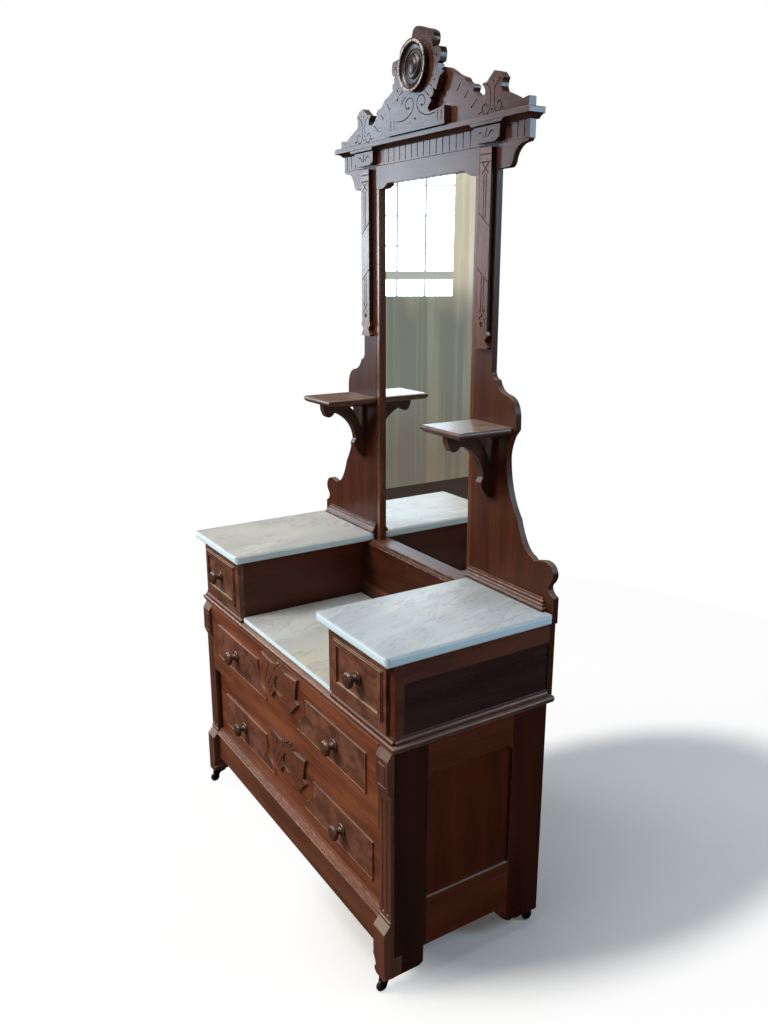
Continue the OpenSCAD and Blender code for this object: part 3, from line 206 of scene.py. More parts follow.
def marble_vein_group():
    """Soft grey clouds, thin drawn-out veins and pale yellow stains."""
    tree, g, start, end = shader_group(
        "marble veins", [("Vector", VECTOR, None)], [("Clouds", FLOAT), ("Veins", FLOAT), ("Stains", FLOAT)])
    v = start.outputs["Vector"]
    drift = g.add("ShaderNodeTexNoise", {"Vector": v, "Scale": 5.0, "Detail": 5.0}).outputs["Color"]
    moved = g.add("ShaderNodeVectorMath", {0: drift, "Scale": 0.07}, operation="SCALE").outputs[0]
    bent = g.add("ShaderNodeVectorMath", {0: v, 1: moved}, operation="ADD").outputs[0]
    turned = g.add("ShaderNodeMapping", {"Vector": bent, "Rotation": (0, 0, -0.35)}).outputs[0]
    slanted = g.stretch(turned, (1, 0.2, 1))
    field = g.noise(slanted, 24.0, 6.0, 0.62)
    ridge = g.math("ABSOLUTE", g.math("SUBTRACT", field, 0.5))
    patchy = g.step(g.noise(v, 6.5, 3.0), 0.36, 0.56)
    fine = g.step(g.noise(slanted, 95.0, 6.0, 0.75), 0.52, 0.70, 0.0, 0.9)
    veins = g.math("MULTIPLY", g.math("MAXIMUM", g.step(ridge, 0.0, 0.035, 0.85, 0.0), fine), patchy)
    clouds = g.step(g.noise(slanted, 6.0, 7.0, 0.66), 0.36, 0.68)
    stains = g.step(g.noise(bent, 3.1, 4.0, 0.6), 0.52, 0.75)
    for label, value in (("Clouds", clouds), ("Veins", veins), ("Stains", stains)):
        g.tree.links.new(value, end.inputs[label])
    return tree


WOOD_GRAIN = wood_grain_group()
EDGE_WEAR = edge_wear_group()
HANDLED = handling_group()
DUST_AND_TOP_LIGHT = dust_and_top_light_group()
CARVED_LINE = carved_line_group()
MARBLE_VEINS = marble_vein_group()

# ---------------------------------------------------------------- materials

ALONG = {"X": (0, math.pi / 2, 0), "Y": (math.pi / 2, 0, 0), "Z": (0, 0, 0)}


def new_material(name):
    """A material with its graph, its Principled shader and the object's own coordinates."""
    material = bpy.data.materials.new(name)
    material.use_nodes = True
    graph = Graph(material.node_tree)
    shader = material.node_tree.nodes["Principled BSDF"]
    place = graph.add("ShaderNodeTexCoord").outputs["Object"]
    return material, graph, shader, place


def set_inputs(shader, **values):
    """Sets what is the same all over a surface on the shader itself."""
    for name, value in values.items():
        shader.inputs[name.replace("_", " ")].default_value = value


def use_group(graph, tree, inputs):
    """Places a shared effect in a material and returns what it puts out."""
    return graph.add("ShaderNodeGroup", inputs, node_tree=tree).outputs


def finish_wood(material, g, shader, place, color, height, worn, rough, coat, wear, dust_and_top_light, line_depth=1.0,
                shine=0.40):
    """What old varnished wood has in common: dark cut lines, rubbed arrises, scuffs, nicks, and dust on faces
    that look up, which also paints the light on top faces.
    """
    line = use_group(g, CARVED_LINE, {"Depth": line_depth})["Line"]
    color = g.mix(line, color, (0.012, 0.006, 0.004, 1))
    rubbed = use_group(g, EDGE_WEAR, {"Vector": place, "Amount": wear})["Wear"]
    color = g.mix(rubbed, color, (*worn, 1))
    gloss = use_group(g, HANDLED, {"Vector": place, "Roughness": rough})
    color = g.mix(g.math("MULTIPLY", gloss["Scuffs"], 0.09), color, (*worn, 1))
    color = g.mix(g.math("MULTIPLY", gloss["Nicks"], 0.55), color, (0.42, 0.33, 0.27, 1))
    # Dust and painted top light: faces that look up are made paler
    pale_on_top_mask = use_group(g, DUST_AND_TOP_LIGHT, {"Vector": place, "Amount": dust_and_top_light})["Pale on top"]
    color = g.mix(pale_on_top_mask, color, (0.40, 0.33, 0.25, 1))
    dull = g.math("ADD", gloss["Roughness"], g.math("MULTIPLY", g.math("MAXIMUM", pale_on_top_mask, line), 0.4), True)
    bump = g.add("ShaderNodeBump", {"Height": height, "Strength": 0.10, "Distance": 0.4 * MM})
    g.tree.links.new(color, shader.inputs["Base Color"])
    g.tree.links.new(dull, shader.inputs["Roughness"])
    g.tree.links.new(bump.outputs[0], shader.inputs["Normal"])
    set_inputs(shader, Coat_Weight=coat, Coat_Roughness=0.20, Specular_IOR_Level=shine)
    return material


def wood(name, along, dark, light, worn, rough=0.36, coat=0.15, wear=0.55, bands=9.0, shift=0.0, dust_and_top_light=0.35,
         line_depth=1.0, shine=0.40):
    """Varnished wood whose grain runs along one axis; dark and light are the ends of its figure."""
    material, g, shader, place = new_material(name)
    turned = g.add("ShaderNodeMapping", {
        "Vector": place, "Rotation": ALONG[along], "Location": (shift, shift, 0)}).outputs[0]
    grain = use_group(g, WOOD_GRAIN, {"Vector": turned, "Band scale": bands})
    tone = g.math("ADD", g.math("MULTIPLY", grain["Bands"], 0.10), g.math("MULTIPLY", grain["Fibres"], 0.62))
    tone = g.step(g.math("ADD", tone, g.math("MULTIPLY", grain["Cloud"], 0.54)), 0.42, 0.84)
    color = g.mix(tone, (*dark, 1), (*light, 1))
    color = g.mix(g.math("MULTIPLY", grain["Pores"], 0.35), color, (*[c * 0.4 for c in dark], 1))
    height = g.math("SUBTRACT", g.math("MULTIPLY", grain["Fibres"], 0.5), grain["Pores"])
    return finish_wood(material, g, shader, place, color, height, worn, rough, coat, wear, dust_and_top_light, line_depth,
                       shine)


def burl_wood(name, dark, light, worn, dust_and_top_light):
    """A burl veneer: swirled figure with dark eyes, under varnish."""
    material, g, shader, place = new_material(name)
    warp = g.add("ShaderNodeTexNoise", {"Vector": place, "Scale": 14.0, "Detail": 3.0}).outputs["Color"]
    moved = g.add("ShaderNodeVectorMath", {0: warp, "Scale": 0.10}, operation="SCALE").outputs[0]
    bent = g.add("ShaderNodeVectorMath", {0: place, 1: moved}, operation="ADD").outputs[0]
    swirl = g.noise(g.stretch(bent, (0.6, 1, 1)), 24.0, 6.0, 0.62)
    eyes = g.add("ShaderNodeTexVoronoi", {"Vector": bent, "Scale": 30.0}).outputs["Distance"]
    color = g.mix(g.step(swirl, 0.30, 0.74), (*dark, 1), (*light, 1))
    color = g.mix(g.step(eyes, 0.02, 0.2, 0.45, 0.0), color, (*[c * 0.5 for c in dark], 1))
    return finish_wood(material, g, shader, place, color, swirl, worn, rough=0.38, coat=0.12, wear=0.55,
                       dust_and_top_light=dust_and_top_light)


def marble_material(name, light, cloud, shade_at=None):
    """White marble gone warm with age and veined in grey, with cool light painted on the faces that do not
    look up.
    """
    material, g, shader, place = new_material(name)
    veins = use_group(g, MARBLE_VEINS, {"Vector": place})
    color = g.mix(veins["Clouds"], (*light, 1), (*cloud, 1))
    color = g.mix(g.math("MULTIPLY", veins["Stains"], 0.4), color, (0.50, 0.46, 0.36, 1))
    # Painted shade: the slab is darkened and yellowed about one place, next to the right glove box
    if shade_at:
        off = g.add("ShaderNodeVectorMath", {0: place, 1: shade_at}, operation="DISTANCE").outputs["Value"]
        color = g.mix(g.step(off, 0.03, 0.30, 0.7, 0.0), color, (0.40, 0.375, 0.29, 1))
    color = g.mix(g.math("MULTIPLY", veins["Veins"], 0.50), color, (0.20, 0.21, 0.22, 1))
    # Painted cool light: faces that do not look up are tinted pale blue, standing for blue window light on
    # the edges
    up = g.add("ShaderNodeSeparateXYZ", {0: g.add("ShaderNodeNewGeometry").outputs["Normal"]}).outputs[2]
    color = g.mix(g.step(up, 0.2, 0.9, 0.95, 0.0), color, (0.72, 0.90, 1.0, 1))
    etched = g.noise(place, 14.0, 5.0, 0.6)
    g.tree.links.new(color, shader.inputs["Base Color"])
    g.tree.links.new(g.step(etched, 0.35, 0.7, 0.30, 0.42), shader.inputs["Roughness"])
    set_inputs(shader, Specular_IOR_Level=0.06)
    return material


def mirror_material(name):
    """Old silvered glass, a little dulled in clouds and with small dark specks."""
    material, g, shader, place = new_material(name)
    haze = g.noise(place, 6.0, 4.0, 0.6)
    specks = g.step(g.noise(place, 120.0, 2.0, 0.5), 0.76, 0.8)
    color = g.mix(g.step(haze, 0.3, 0.75), (0.84, 0.86, 0.85, 1), (0.76, 0.79, 0.78, 1))
    color = g.mix(g.math("MULTIPLY", specks, 0.7), color, (0.14, 0.13, 0.12, 1))
    g.tree.links.new(color, shader.inputs["Base Color"])
    g.tree.links.new(g.step(haze, 0.3, 0.8, 0.004, 0.012), shader.inputs["Roughness"])
    set_inputs(shader, Metallic=1.0)
    return material


def iron_material(name):
    """Blackened iron with brown rust."""
    material, g, shader, place = new_material(name)
    rust = g.step(g.noise(place, 260.0, 5.0, 0.65), 0.48, 0.7)
    color = g.mix(rust, (0.018, 0.017, 0.017, 1), (0.055, 0.034, 0.024, 1))
    g.tree.links.new(color, shader.inputs["Base Color"])
    g.tree.links.new(g.step(rust, 0.0, 1.0, 0.38, 0.75), shader.inputs["Roughness"])
    bump = g.add("ShaderNodeBump", {"Height": rust, "Strength": 0.25, "Distance": 0.3 * MM})
    g.tree.links.new(bump.outputs[0], shader.inputs["Normal"])
    set_inputs(shader, Metallic=0.85)
    return material


def wheel_material(name):
    """The dark glaze of an old pottery caster wheel, ground dull where it runs."""
    material, g, shader, place = new_material(name)
    stain = g.step(g.noise(place, 170.0, 5.0, 0.7), 0.4, 0.68)
    color = g.mix(stain, (0.020, 0.016, 0.014, 1), (0.075, 0.060, 0.048, 1))
    g.tree.links.new(color, shader.inputs["Base Color"])
    g.tree.links.new(g.step(stain, 0.0, 1.0, 0.22, 0.55), shader.inputs["Roughness"])
    return material


# The colours of rubbed walnut, some of which also paint highlights on the ledge lip and the roundel rim, and
# the place about which painted shade darkens the well slab: at its front right
WORN = (0.40, 0.20, 0.125)
RUBBED_BASE = (0.46, 0.31, 0.23)
LEDGE_WEAR_AND_HIGHLIGHT = (0.56, 0.37, 0.31)
RIM_HIGHLIGHT = (0.66, 0.6, 0.54)
WELL_SHADE_PLACE = (0.16, -0.16, 0.635)

# The case. Each wood has its name, the way its grain runs, the dark and the light of its figure, and its
# rubbed colour; shift moves it to another part of the same figure.
MATERIALS = {
    "front": wood("walnut, drawer fronts", "X", (0.090, 0.023, 0.009), (0.290, 0.086, 0.033), WORN,
                  rough=0.34, wear=0.85),
    "panel": burl_wood("burl veneer", (0.080, 0.028, 0.015), (0.245, 0.094, 0.053), WORN, dust_and_top_light=0.9),
    "carving": wood("carved walnut", "X", (0.100, 0.031, 0.014), (0.185, 0.060, 0.027), WORN,
                    shift=5.2, wear=0.8, line_depth=0.6),
    "knob": wood("turned walnut", "Y", (0.045, 0.018, 0.012), (0.11, 0.045, 0.030), WORN,
                 rough=0.26, coat=0.4, dust_and_top_light=0.2),
    "base": wood("walnut, apron and base moulding", "X", (0.098, 0.032, 0.015), (0.21, 0.072, 0.035),
                 RUBBED_BASE, shift=0.6, rough=0.42, coat=0.05, wear=0.32, dust_and_top_light=0.04, shine=0.25),
    # Rubbed at full strength on its arrises in a pale colour: wear, and a painted highlight along the lip
    "ledge": wood("walnut, ledge", "X", (0.095, 0.028, 0.013), (0.19, 0.060, 0.030), LEDGE_WEAR_AND_HIGHLIGHT,
                  shift=1.1, wear=1.0),
    "post": wood("walnut, corner posts", "Z", (0.085, 0.030, 0.017), (0.17, 0.060, 0.035), WORN,
                 shift=0.9, wear=0.75, dust_and_top_light=0.75),
    # Painted shade: the front stiles are made far darker than the rails and panels of the side
    "case_side": wood("walnut, front side stiles, painted shade", "Z", (0.022, 0.0055, 0.0035), (0.052, 0.011, 0.0055),
                      WORN, shift=0.37, rough=0.30, coat=0.05, wear=0.35, dust_and_top_light=0.8, shine=0.28),
    "rear_stile": wood("walnut, rear side stiles", "Z", (0.036, 0.0065, 0.003), (0.074, 0.014, 0.0055),
                       WORN, shift=0.7, rough=0.30, coat=0.05, wear=0.35, dust_and_top_light=0.8, shine=0.26),
    "side_rail": wood("walnut, side rails", "Y", (0.074, 0.014, 0.005), (0.140, 0.031, 0.011), WORN,
                      shift=0.9, rough=0.30, coat=0.08, wear=0.35, dust_and_top_light=0.9, shine=0.30),
    "side_panel": wood("walnut, side panels", "Z", (0.058, 0.009, 0.003), (0.112, 0.019, 0.006), WORN,
                       shift=1.3, rough=0.30, coat=0.05, shine=0.25),
    "box": wood("walnut, glove boxes", "Y", (0.062, 0.014, 0.006), (0.125, 0.030, 0.013), WORN,
                shift=2.1, coat=0.0, shine=0.25),
    "box_rail": wood("walnut, glove box rails", "Y", (0.085, 0.024, 0.014), (0.17, 0.047, 0.026), WORN,
                     shift=2.6),
    # Painted shade: the glove box side panels are made near black, standing for the shade on them
    "box_panel": wood("walnut, glove box panels, painted shade", "Y", (0.026, 0.009, 0.009), (0.056, 0.020, 0.018),
                      WORN, shift=0.5, rough=0.28),
    "inner": wood("poplar, inside", "X", (0.30, 0.19, 0.10), (0.50, 0.36, 0.21), (0.55, 0.42, 0.27),
                  rough=0.62, coat=0.0, dust_and_top_light=0.3),
    "inner_up": wood("poplar, back boards", "Z", (0.25, 0.16, 0.09), (0.44, 0.31, 0.18), (0.5, 0.38, 0.25),
                     bands=14.0, rough=0.68, coat=0.0, dust_and_top_light=0.3),
}

# The mirror stand, its shelves and its crest
MATERIALS |= {
    "board": wood("walnut, mirror boards", "Z", (0.036, 0.0085, 0.003), (0.084, 0.0215, 0.008), WORN,
                  shift=0.2, coat=0.0, shine=0.22),
    "sill": wood("walnut, well back and sill", "X", (0.036, 0.0095, 0.004), (0.080, 0.022, 0.0095), WORN,
                 shift=3.7, rough=0.42, coat=0.0, dust_and_top_light=0.05, shine=0.14),
    "slip": wood("walnut, mirror slips", "Z", (0.075, 0.020, 0.008), (0.165, 0.046, 0.019), WORN,
                 shift=4.6, rough=0.24, coat=0.1, wear=0.8, shine=0.5),
    "deep": wood("walnut, shelves and brackets", "Y", (0.045, 0.014, 0.008), (0.10, 0.032, 0.018), WORN,
                 shift=1.7, rough=0.34, dust_and_top_light=0.3),
    "rail": wood("walnut, mirror rails", "X", (0.040, 0.013, 0.007), (0.085, 0.028, 0.015), WORN,
                 shift=2.7, rough=0.30, coat=0.0, dust_and_top_light=0.25, shine=0.55),
    "pilaster": wood("walnut, incised pilasters", "Z", (0.064, 0.020, 0.009), (0.150, 0.048, 0.023), WORN,
                     shift=4.1, rough=0.27, coat=0.0, shine=0.5),
    "crest": wood("walnut, crest", "X", (0.036, 0.014, 0.009), (0.078, 0.031, 0.020), WORN,
                  shift=3.1, rough=0.22, coat=0.0, wear=0.5, dust_and_top_light=0.2, shine=0.35),
    # Painted shade: the roundel, all but its rim, is made near black, standing for the shade in its deep bowl
    "bowl": wood("turned walnut, roundel, painted shade", "X", (0.012, 0.005, 0.003), (0.034, 0.014, 0.008), WORN,
                 shift=3.3, rough=0.30, wear=0.2, dust_and_top_light=0.0, shine=0.3),
    # Painted highlight: the rim is pale and rubbed all round, standing for the light on its ridge
    "rim": wood("walnut, roundel rim, painted highlight", "X", (0.10, 0.07, 0.055), (0.55, 0.48, 0.42), RIM_HIGHLIGHT,
                shift=3.3, wear=1.0),
}

# Stone, glass, iron and glazed pottery
MATERIALS |= {
    "marble": marble_material("veined marble", (0.49, 0.485, 0.44), (0.355, 0.36, 0.35)),
    # Painted cool sheen: the right slab is tinted bluer all over, standing for the window's reflection on it
    "marble_painted_cool_sheen": marble_material("veined marble, right slab, painted cool sheen", (0.42, 0.455, 0.465), (0.32, 0.35, 0.365)),
    "well_marble": marble_material("veined marble, well slab", (0.44, 0.445, 0.425), (0.33, 0.34, 0.34),
                                   shade_at=WELL_SHADE_PLACE),
    "mirror": mirror_material("old mirror"),
    "iron": iron_material("rusty iron"),
    "wheel": wheel_material("caster pottery"),
}

# ---------------------------------------------------------------- pieces

BODY_OF = {n: b for b, nodes in frame["record"]["behaviour"]["bodies"].items() for n in nodes}


def add_object(name, bm, material):
    """An object in the scene, made from a bmesh, with one material."""
    mesh = bpy.data.meshes.new(name)
    bm.to_mesh(mesh)
    bm.free()
    mesh.materials.append(material)
    result = bpy.data.objects.new(name, mesh)
    bpy.context.scene.collection.objects.link(result)
    return result


def place_mesh(name, bm, material, body):
    """Turns a finished bmesh into a smooth-shaded piece that rides on a body."""
    piece = add_object(name, bm, MATERIALS[material])
    piece.data.shade_smooth()
    piece.data.set_sharp_from_angle(angle=SHARP_ANGLE)
    even = piece.modifiers.new("even shading", "WEIGHTED_NORMAL")
    even.keep_sharp = True
    even.weight = 80
    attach(piece, body)
    return piece


def ease_arrises(bm, width):
    """Rounds every sharp edge of a bmesh a little and marks the new faces as edge."""
    bm.normal_update()
    mark = bm.faces.layers.float.new("edge")
    sharp = [e for e in bm.edges if len(e.link_faces) == 2 and e.calc_face_angle(0) > SHARP_ANGLE]
    result = bmesh.ops.bevel(bm, geom=sharp, offset=width, offset_type="OFFSET", segments=ARRIS_SEGMENTS,
                             profile=0.5, affect="EDGES", clamp_overlap=True)
    for face in result["faces"]:
        face[mark] = 1.0


def mark_cut_lines(bm, front):
    """Marks the walls and floors of the lines cut into a face that stands at this depth."""
    mark = bm.faces.layers.float.new("cut")
    for face in bm.faces:
        depth = face.calc_center_median().y - front
        if CUT_LEAST < depth < CUT_MOST:
            face[mark] = 1.0


def split_joints(bm, places):
    """Cuts a side frame's faces along the joints between its stiles and its rails."""
    for y in places:
        bmesh.ops.bisect_plane(bm, geom=[*bm.verts, *bm.edges, *bm.faces], plane_co=(0, y, 0),
                               plane_no=(0, 1, 0), dist=SAME_PLACE / 2)


def second_finish(bm, index, axis, low, high, facing):
    """Gives another finish to the faces that lie between two places along an axis, on both sides in X."""
    for face in bm.faces:
        place = face.calc_center_median()[axis]
        if axis == 0:
            place = abs(place)
        if low < place < high and abs(face.normal[axis]) >= facing:
            face.material_index = index


def eased(node, material, width, cut_from=None):
    """Stands for a CAD node with the same solid, its arrises worn round and its cut lines marked."""
    bm = bmesh.new()
    bm.from_mesh(frame["nodes"][node].data)
    bmesh.ops.remove_doubles(bm, verts=bm.verts, dist=SAME_PLACE)
    bmesh.ops.dissolve_limit(bm, angle_limit=FLAT_ANGLE, verts=bm.verts, edges=bm.edges)
    if cut_from is not None:
        mark_cut_lines(bm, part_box(node)[0][1] + cut_from)
    if node in SIDE_FRAMES:
        split_joints(bm, RAIL_ENDS)
    ease_arrises(bm, width)
    others = SECOND.get(node, [])
    for index, (_, *where) in enumerate(others, 1):
        second_finish(bm, index, *where)
    piece = place_mesh(node + "_piece", bm, material, BODY_OF[node])
    for finish, *_ in others:
        piece.data.materials.append(MATERIALS[finish])
    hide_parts(node)


def dressed(node, material):
    """Keeps a CAD node as it is and gives it its finish."""
    mesh = frame["nodes"][node].data
    mesh.materials.clear()
    mesh.materials.append(MATERIALS[material])


# In Y: where the side rails end at the stiles, and a place behind the rear stiles. In X, outwards: just
# inside the panel of a glove box, between the panel and the rails, and beyond the rails. Then how far a
# drawer's bead stands in front of its burl field, the slack about that field, and the slack before and the
# depth behind the foremost point of the roundel that its rim, with its painted highlight, takes in.
SIDE_FRAMES = ("case_side_left", "case_side_right")
RAIL_ENDS = (-0.111, 0.123)
BEHIND_STILES = 0.3
BEFORE_PANEL, BEFORE_RAIL, BEYOND_RAIL = 0.5165, 0.5195, 0.53
BEAD = 1.0 * MM
FIELD_SLACK = 0.2 * MM
RIM_SLACK, RIM_DEPTH = 0.1 * MM, 0.8 * MM

# The faces of a piece that have a finish of their own: that finish, the axis, the two places between which
# the faces lie, and how squarely they face along it
SECOND = {}
for side in SIDE_FRAMES:
    SECOND[side] = [
        ("side_rail", 1, *RAIL_ENDS, 0.0),
        ("rear_stile", 1, RAIL_ENDS[1], BEHIND_STILES, 0.0),
    ]
for box in ("glove_box_left", "glove_box_right"):
    SECOND[box] = [
        ("box_rail", 0, BEFORE_RAIL, BEYOND_RAIL, 0.7),
        # The recessed panel faces get the near-black wood, with its painted shade
        ("box_panel", 0, BEFORE_PANEL, BEFORE_RAIL, 0.9),
    ]
rim_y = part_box("roundel")[0][1]
# The rim faces get the rim wood, with its painted highlight
SECOND["roundel"] = [("rim", 1, rim_y - RIM_SLACK, rim_y + RIM_DEPTH, 0.6)]
for drawer in ("upper_drawer_front", "lower_drawer_front"):
    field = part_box(drawer)[0][1] + BEAD
    SECOND[drawer] = [("panel", 1, field - FIELD_SLACK, field + FIELD_SLACK, 0.9)]

# Pieces that stand for their node with worn arrises, and their wood
EASED = {
    "case_side_left": "case_side", "case_side_right": "case_side", "fluted_pilasters": "post",
    "front_feet": "post", "apron": "base", "base_moulding": "base", "ledge_moulding": "ledge",
    "glove_box_left": "box", "glove_box_right": "box", "well_back": "sill", "well_bead": "sill",
    "mirror_sill": "sill", "wing_left": "board", "wing_right": "board", "wing_mouldings": "rail",
    "top_rail": "rail", "shelf_left": "deep", "shelf_right": "deep", "shelf_brackets": "deep",
    "end_brackets": "rail", "cornice": "rail", "upper_drawer_front": "front", "lower_drawer_front": "front",
    "left_small_drawer": "panel", "right_small_drawer": "panel", "upper_drawer_box": "inner",
    "lower_drawer_box": "inner",
}

# Pieces with lines cut into their fronts: their wood, and how far in millimetres the cut face lies behind
# the foremost point
CUT = {
    "top_blocks": ("post", 0.0), "mirror_pilasters": ("pilaster", 0.0), "frieze": ("rail", 0.0),
    "corner_blocks": ("rail", 0.0), "crest_board": ("crest", 0.0), "crest_applique": ("crest", 3.0),
    "crown": ("crest", 0.0), "upper_ornament": ("carving", 0.0), "lower_ornament": ("carving", 0.0),
}

# Pieces with fine worn arrises and no cut lines, and pieces that stay as they are
FINE = {"roundel": "bowl", "mirror_slips": "slip"}
KEPT = {
    "side_panels": "side_panel", "case_back": "inner_up", "dust_boards": "inner",
    "mirror_backboard": "inner_up", "mirror_glass": "mirror",
    "marble_left": "marble", "marble_right": "marble_painted_cool_sheen", "well_marble": "well_marble",
    "upper_knobs": "knob", "lower_knobs": "knob", "left_small_knob": "knob", "right_small_knob": "knob",
    "caster_plates": "iron",
}
for corner in ("front_left", "front_right", "rear_left", "rear_right"):
    KEPT["caster_fork_" + corner] = "iron"
    KEPT["caster_wheel_" + corner] = "wheel"

for node, material in EASED.items():
    eased(node, material, LEDGE_ARRIS if node == "ledge_moulding" else ARRIS)
for node, (material, behind) in CUT.items():
    eased(node, material, FINE_ARRIS, cut_from=behind * MM)
for node, material in FINE.items():
    eased(node, material, FINE_ARRIS)
for node, material in KEPT.items():
    dressed(node, material)

# ---------------------------------------------------------------- studio

# The floor, and how far from the stand it fades to white
FLOOR_RADIUS = 14.0
FLOOR_FADE = (1.5, 2.6)

# The oval patch of floor that keeps the stand's shadow, round about x 0.35, y 0.62: how a place is moved and
# scaled to its measure, and where in that measure it fades
PATCH_MOVE, PATCH_SCALE = (-0.84, -0.775, 0), (2.4, 1.25, 1)
PATCH_FADE = (0.86, 1.25)

# What the mirror sees: upright panels, each from one place on the floor to another, and its height
PANELS = (
    ((-3.5, -2.8), (-3.5, -1.7), 2.4),
    ((-0.9, -4.6), (2.6, -4.6), 2.8),
    ((2.6, -4.6), (5.0, -2.0), 2.8),
)

# The size of the window, its panes and the half widths of its uprights, its cross bars and its low rail;
# how far the panes are moved down, and how far the bars stand in front of the light
WINDOW_SIZE = (0.76, 1.34)
PANE = 0.18
UPRIGHT, CROSS_BAR, LOW_RAIL = 0.007, 0.005, 0.026
PANES_DOWN, BARS_IN_FRONT = 0.05, 0.02

# How bright the surroundings are on the stand, and how bright its varnish and the mirror see them
AROUND, AROUND_REFLECTED = 0.13, 0.05

# The lights: the place, the point each turns to, its width and height, its power and its colour
LIGHTS = {
    "window": ((-3.0, -1.60, 2.08), (0.0, 0.15, 1.9), WINDOW_SIZE, 34, (0.66, 0.83, 1.0)),
    "second window": ((-3.0, -1.20, 1.50), (0.0, 0.2, 1.6), (0.46, 0.80), 12, (0.80, 0.91, 1.0)),
    "soft light in front": ((-1.4, -3.7, 4.5), (0, 0, 0.7), (1.9, 1.7), 255, (1.0, 0.95, 0.89)),
    "overhead": ((-0.2, -0.6, 4.0), (0, 0, 0.8), (2.2, 1.8), 60, (0.92, 0.97, 1.0)),
    "cool light behind": ((2.7, 2.2, 2.3), (0.4, 0.2, 1.6), (0.8, 1.6), 50, (0.52, 0.77, 1.0)),
}


def floor_material():
    """A pale floor, white to the camera outside the stand's shadow and dark where the varnish reflects it."""
    material, g, shader, place = new_material("studio floor")
    away = g.add("ShaderNodeVectorMath", {0: place}, operation="LENGTH").outputs["Value"]
    patch = g.add("ShaderNodeMapping", {"Vector": place, "Location": PATCH_MOVE, "Scale": PATCH_SCALE})
    beyond = g.add("ShaderNodeVectorMath", {0: patch.outputs[0]}, operation="LENGTH").outputs["Value"]
    path = g.add("ShaderNodeLightPath")
    set_inputs(shader, Base_Color=(0.86, 0.81, 0.77, 1), Roughness=0.9, Specular_IOR_Level=0.0)
    glow = g.add("ShaderNodeEmission", {"Color": (1, 1, 1, 1), "Strength": 0.05})
    near = g.add("ShaderNodeAddShader", {0: shader.outputs[0], 1: glow.outputs[0]})
    white = g.add("ShaderNodeEmission", {"Color": (1, 1, 1, 1), "Strength": 1.0})
    share = g.math("MAXIMUM", g.step(away, *FLOOR_FADE), g.step(beyond, *PATCH_FADE, 0.0, 0.95))
    far = g.add("ShaderNodeMixShader", {0: share, 1: near.outputs[0], 2: white.outputs[0]})
    tint = g.mix(path.outputs["Is Glossy Ray"], (0.30, 0.27, 0.24, 1), (0.060, 0.045, 0.036, 1))
    dull = g.add("ShaderNodeBsdfDiffuse", {"Color": tint})
    both = g.add("ShaderNodeMixShader", {0: path.outputs["Is Camera Ray"], 1: dull.outputs[0],
                                         2: far.outputs[0]})
    g.tree.links.new(both.outputs[0], material.node_tree.nodes["Material Output"].inputs["Surface"])
    return material


def studio_floor():
    """A round floor under the stand."""
    bm = bmesh.new()
    bmesh.ops.create_circle(bm, cap_ends=True, radius=FLOOR_RADIUS, segments=96)
    floor = add_object("studio_floor", bm, floor_material())


def soft_light(name, place, aim, size, power, color):
    """A rectangular soft light at a place, turned to a point."""
    light = bpy.data.lights.new(name, "AREA")
    light.shape = "RECTANGLE"
    light.size, light.size_y = size
    light.energy = power
    light.color = color
    lamp = bpy.data.objects.new(name, light)
    bpy.context.scene.collection.objects.link(lamp)
    lamp.location = place
    lamp.rotation_euler = (Vector(aim) - Vector(place)).to_track_quat("-Z", "Y").to_euler()
    lamp.visible_camera = False
    return lamp


def backdrop_material():
    """A soft room tone for the mirror: pale drapes above, warm grey in the middle and tan at the foot."""
    material, g, shader, place = new_material("backdrop behind the lights")
    height = g.add("ShaderNodeSeparateXYZ", {0: place}).outputs[2]
    cloud = g.noise(g.stretch(place, (1, 1, 0.6)), 2.6, 2.0, 0.5)
    folds = g.noise(g.stretch(place, (1, 1, 0.02)), 11.0, 3.0, 0.6)
    level = g.math("ADD", height, g.math("MULTIPLY", g.math("SUBTRACT", cloud, 0.5), 0.9))
    color = g.mix(g.step(level, 0.1, 0.9), (0.24, 0.20, 0.14, 1), (0.30, 0.30, 0.24, 1))
    color = g.mix(g.step(folds, 0.42, 0.62, 0.0, 0.4), color, (0.09, 0.105, 0.115, 1))
    drape = g.mix(g.step(folds, 0.35, 0.65), (0.84, 0.84, 0.74, 1), (0.70, 0.60, 0.44, 1))
    color = g.mix(g.step(level, 1.25, 1.75), color, drape)
    glow = g.add("ShaderNodeEmission", {"Color": color, "Strength": 1.0})
    g.tree.links.new(glow.outputs[0], material.node_tree.nodes["Material Output"].inputs["Surface"])
    return material


def only_reflected(name, bm, material):
    """Adds a stage piece that only the mirror and the varnish see."""
    piece = add_object(name, bm, material)
    piece.visible_camera = False
    piece.visible_diffuse = False
    piece.visible_shadow = False


def mirror_backdrop():
    """Panels with the tone of a room: one on the left, and a folding screen in front and to the right."""
    bm = bmesh.new()
    for (x0, y0), (x1, y1), top in PANELS:
        corners = [(x0, y0, 0.0), (x1, y1, 0.0), (x1, y1, top), (x0, y0, top)]
        bm.faces.new([bm.verts.new(c) for c in corners])
    only_reflected("mirror_backdrop", bm, backdrop_material())


def add_bar(bm, x0, x1, y0, y1):
    """One flat bar in front of a light, which lies in the plane of its own X and Y."""
    corners = [(x0, y0), (x1, y0), (x1, y1), (x0, y1)]
    bm.faces.new([bm.verts.new((x, y, -BARS_IN_FRONT)) for x, y in corners])


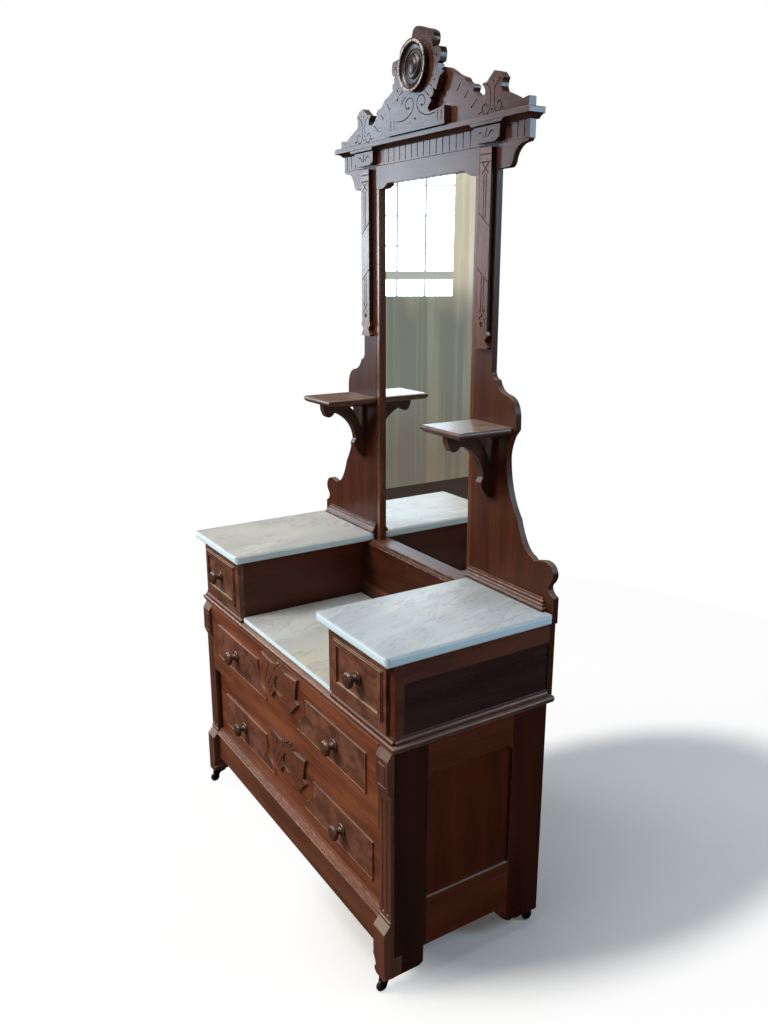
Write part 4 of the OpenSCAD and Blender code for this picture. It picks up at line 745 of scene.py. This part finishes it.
def window_bars(lamp, width, height):
    """The glazing bars of the window: uprights and cross bars one pane apart, over a broad low rail."""
    bm = bmesh.new()
    for column in range(1, int(width / PANE)):
        x = width / 2 - column * PANE
        add_bar(bm, x - UPRIGHT, x + UPRIGHT, -height / 2, height / 2)
    for row in range(1, int(height / PANE) + 1):
        y = row * PANE - height / 2 - PANES_DOWN
        half = LOW_RAIL if row == 1 else CROSS_BAR
        add_bar(bm, -width / 2, width / 2, y - half, y + half)
    material = bpy.data.materials.new("window bars")
    material.use_nodes = True
    g = Graph(material.node_tree)
    glow = g.add("ShaderNodeEmission", {"Color": (0.52, 0.53, 0.49, 1), "Strength": 1.0})
    g.tree.links.new(glow.outputs[0], material.node_tree.nodes["Material Output"].inputs["Surface"])
    bpy.context.view_layer.update()
    bm.transform(lamp.matrix_world)
    only_reflected("window_bars", bm, material)


def studio_light():
    """A world that is white to the camera and dim on the stand, with the windows and lights of a room."""
    world = bpy.data.worlds.new("studio")
    world.use_nodes = True
    bpy.context.scene.world = world
    g = Graph(world.node_tree)
    path = g.add("ShaderNodeLightPath")
    backdrop = world.node_tree.nodes["Background"]
    backdrop.inputs["Color"].default_value = (1, 1, 1, 1)
    strength = g.step(path.outputs["Is Glossy Ray"], 0.0, 1.0, AROUND, AROUND_REFLECTED)
    dim = g.add("ShaderNodeBackground", {"Color": (1.0, 0.93, 0.88, 1), "Strength": strength})
    both = g.add("ShaderNodeMixShader", {0: path.outputs["Is Camera Ray"], 1: dim.outputs[0],
                                         2: backdrop.outputs[0]})
    g.tree.links.new(both.outputs[0], world.node_tree.nodes["World Output"].inputs["Surface"])
    for name, light in LIGHTS.items():
        lamp = soft_light(name, *light)
        if name == "window":
            window_bars(lamp, *WINDOW_SIZE)


def camera():
    """The camera, set where the photograph was taken from."""
    data = bpy.data.cameras.new("camera")
    data.lens = CAMERA_LENS
    data.sensor_width = SENSOR_WIDTH
    data.sensor_fit = "AUTO"
    data.clip_end = 60.0
    eye = bpy.data.objects.new("camera", data)
    bpy.context.scene.collection.objects.link(eye)
    turn = (Matrix.Rotation(CAMERA_YAW, 4, "Z") @ Matrix.Rotation(CAMERA_PITCH, 4, "X")
            @ Matrix.Rotation(CAMERA_ROLL, 4, "Y") @ Matrix.Rotation(math.pi / 2, 4, "X"))
    eye.matrix_world = Matrix.Translation(CAMERA_PLACE) @ turn
    bpy.context.scene.camera = eye


studio_floor()
mirror_backdrop()
studio_light()
camera()
bpy.context.scene.view_settings.view_transform = "Standard"

bpy.context.view_layer.update()
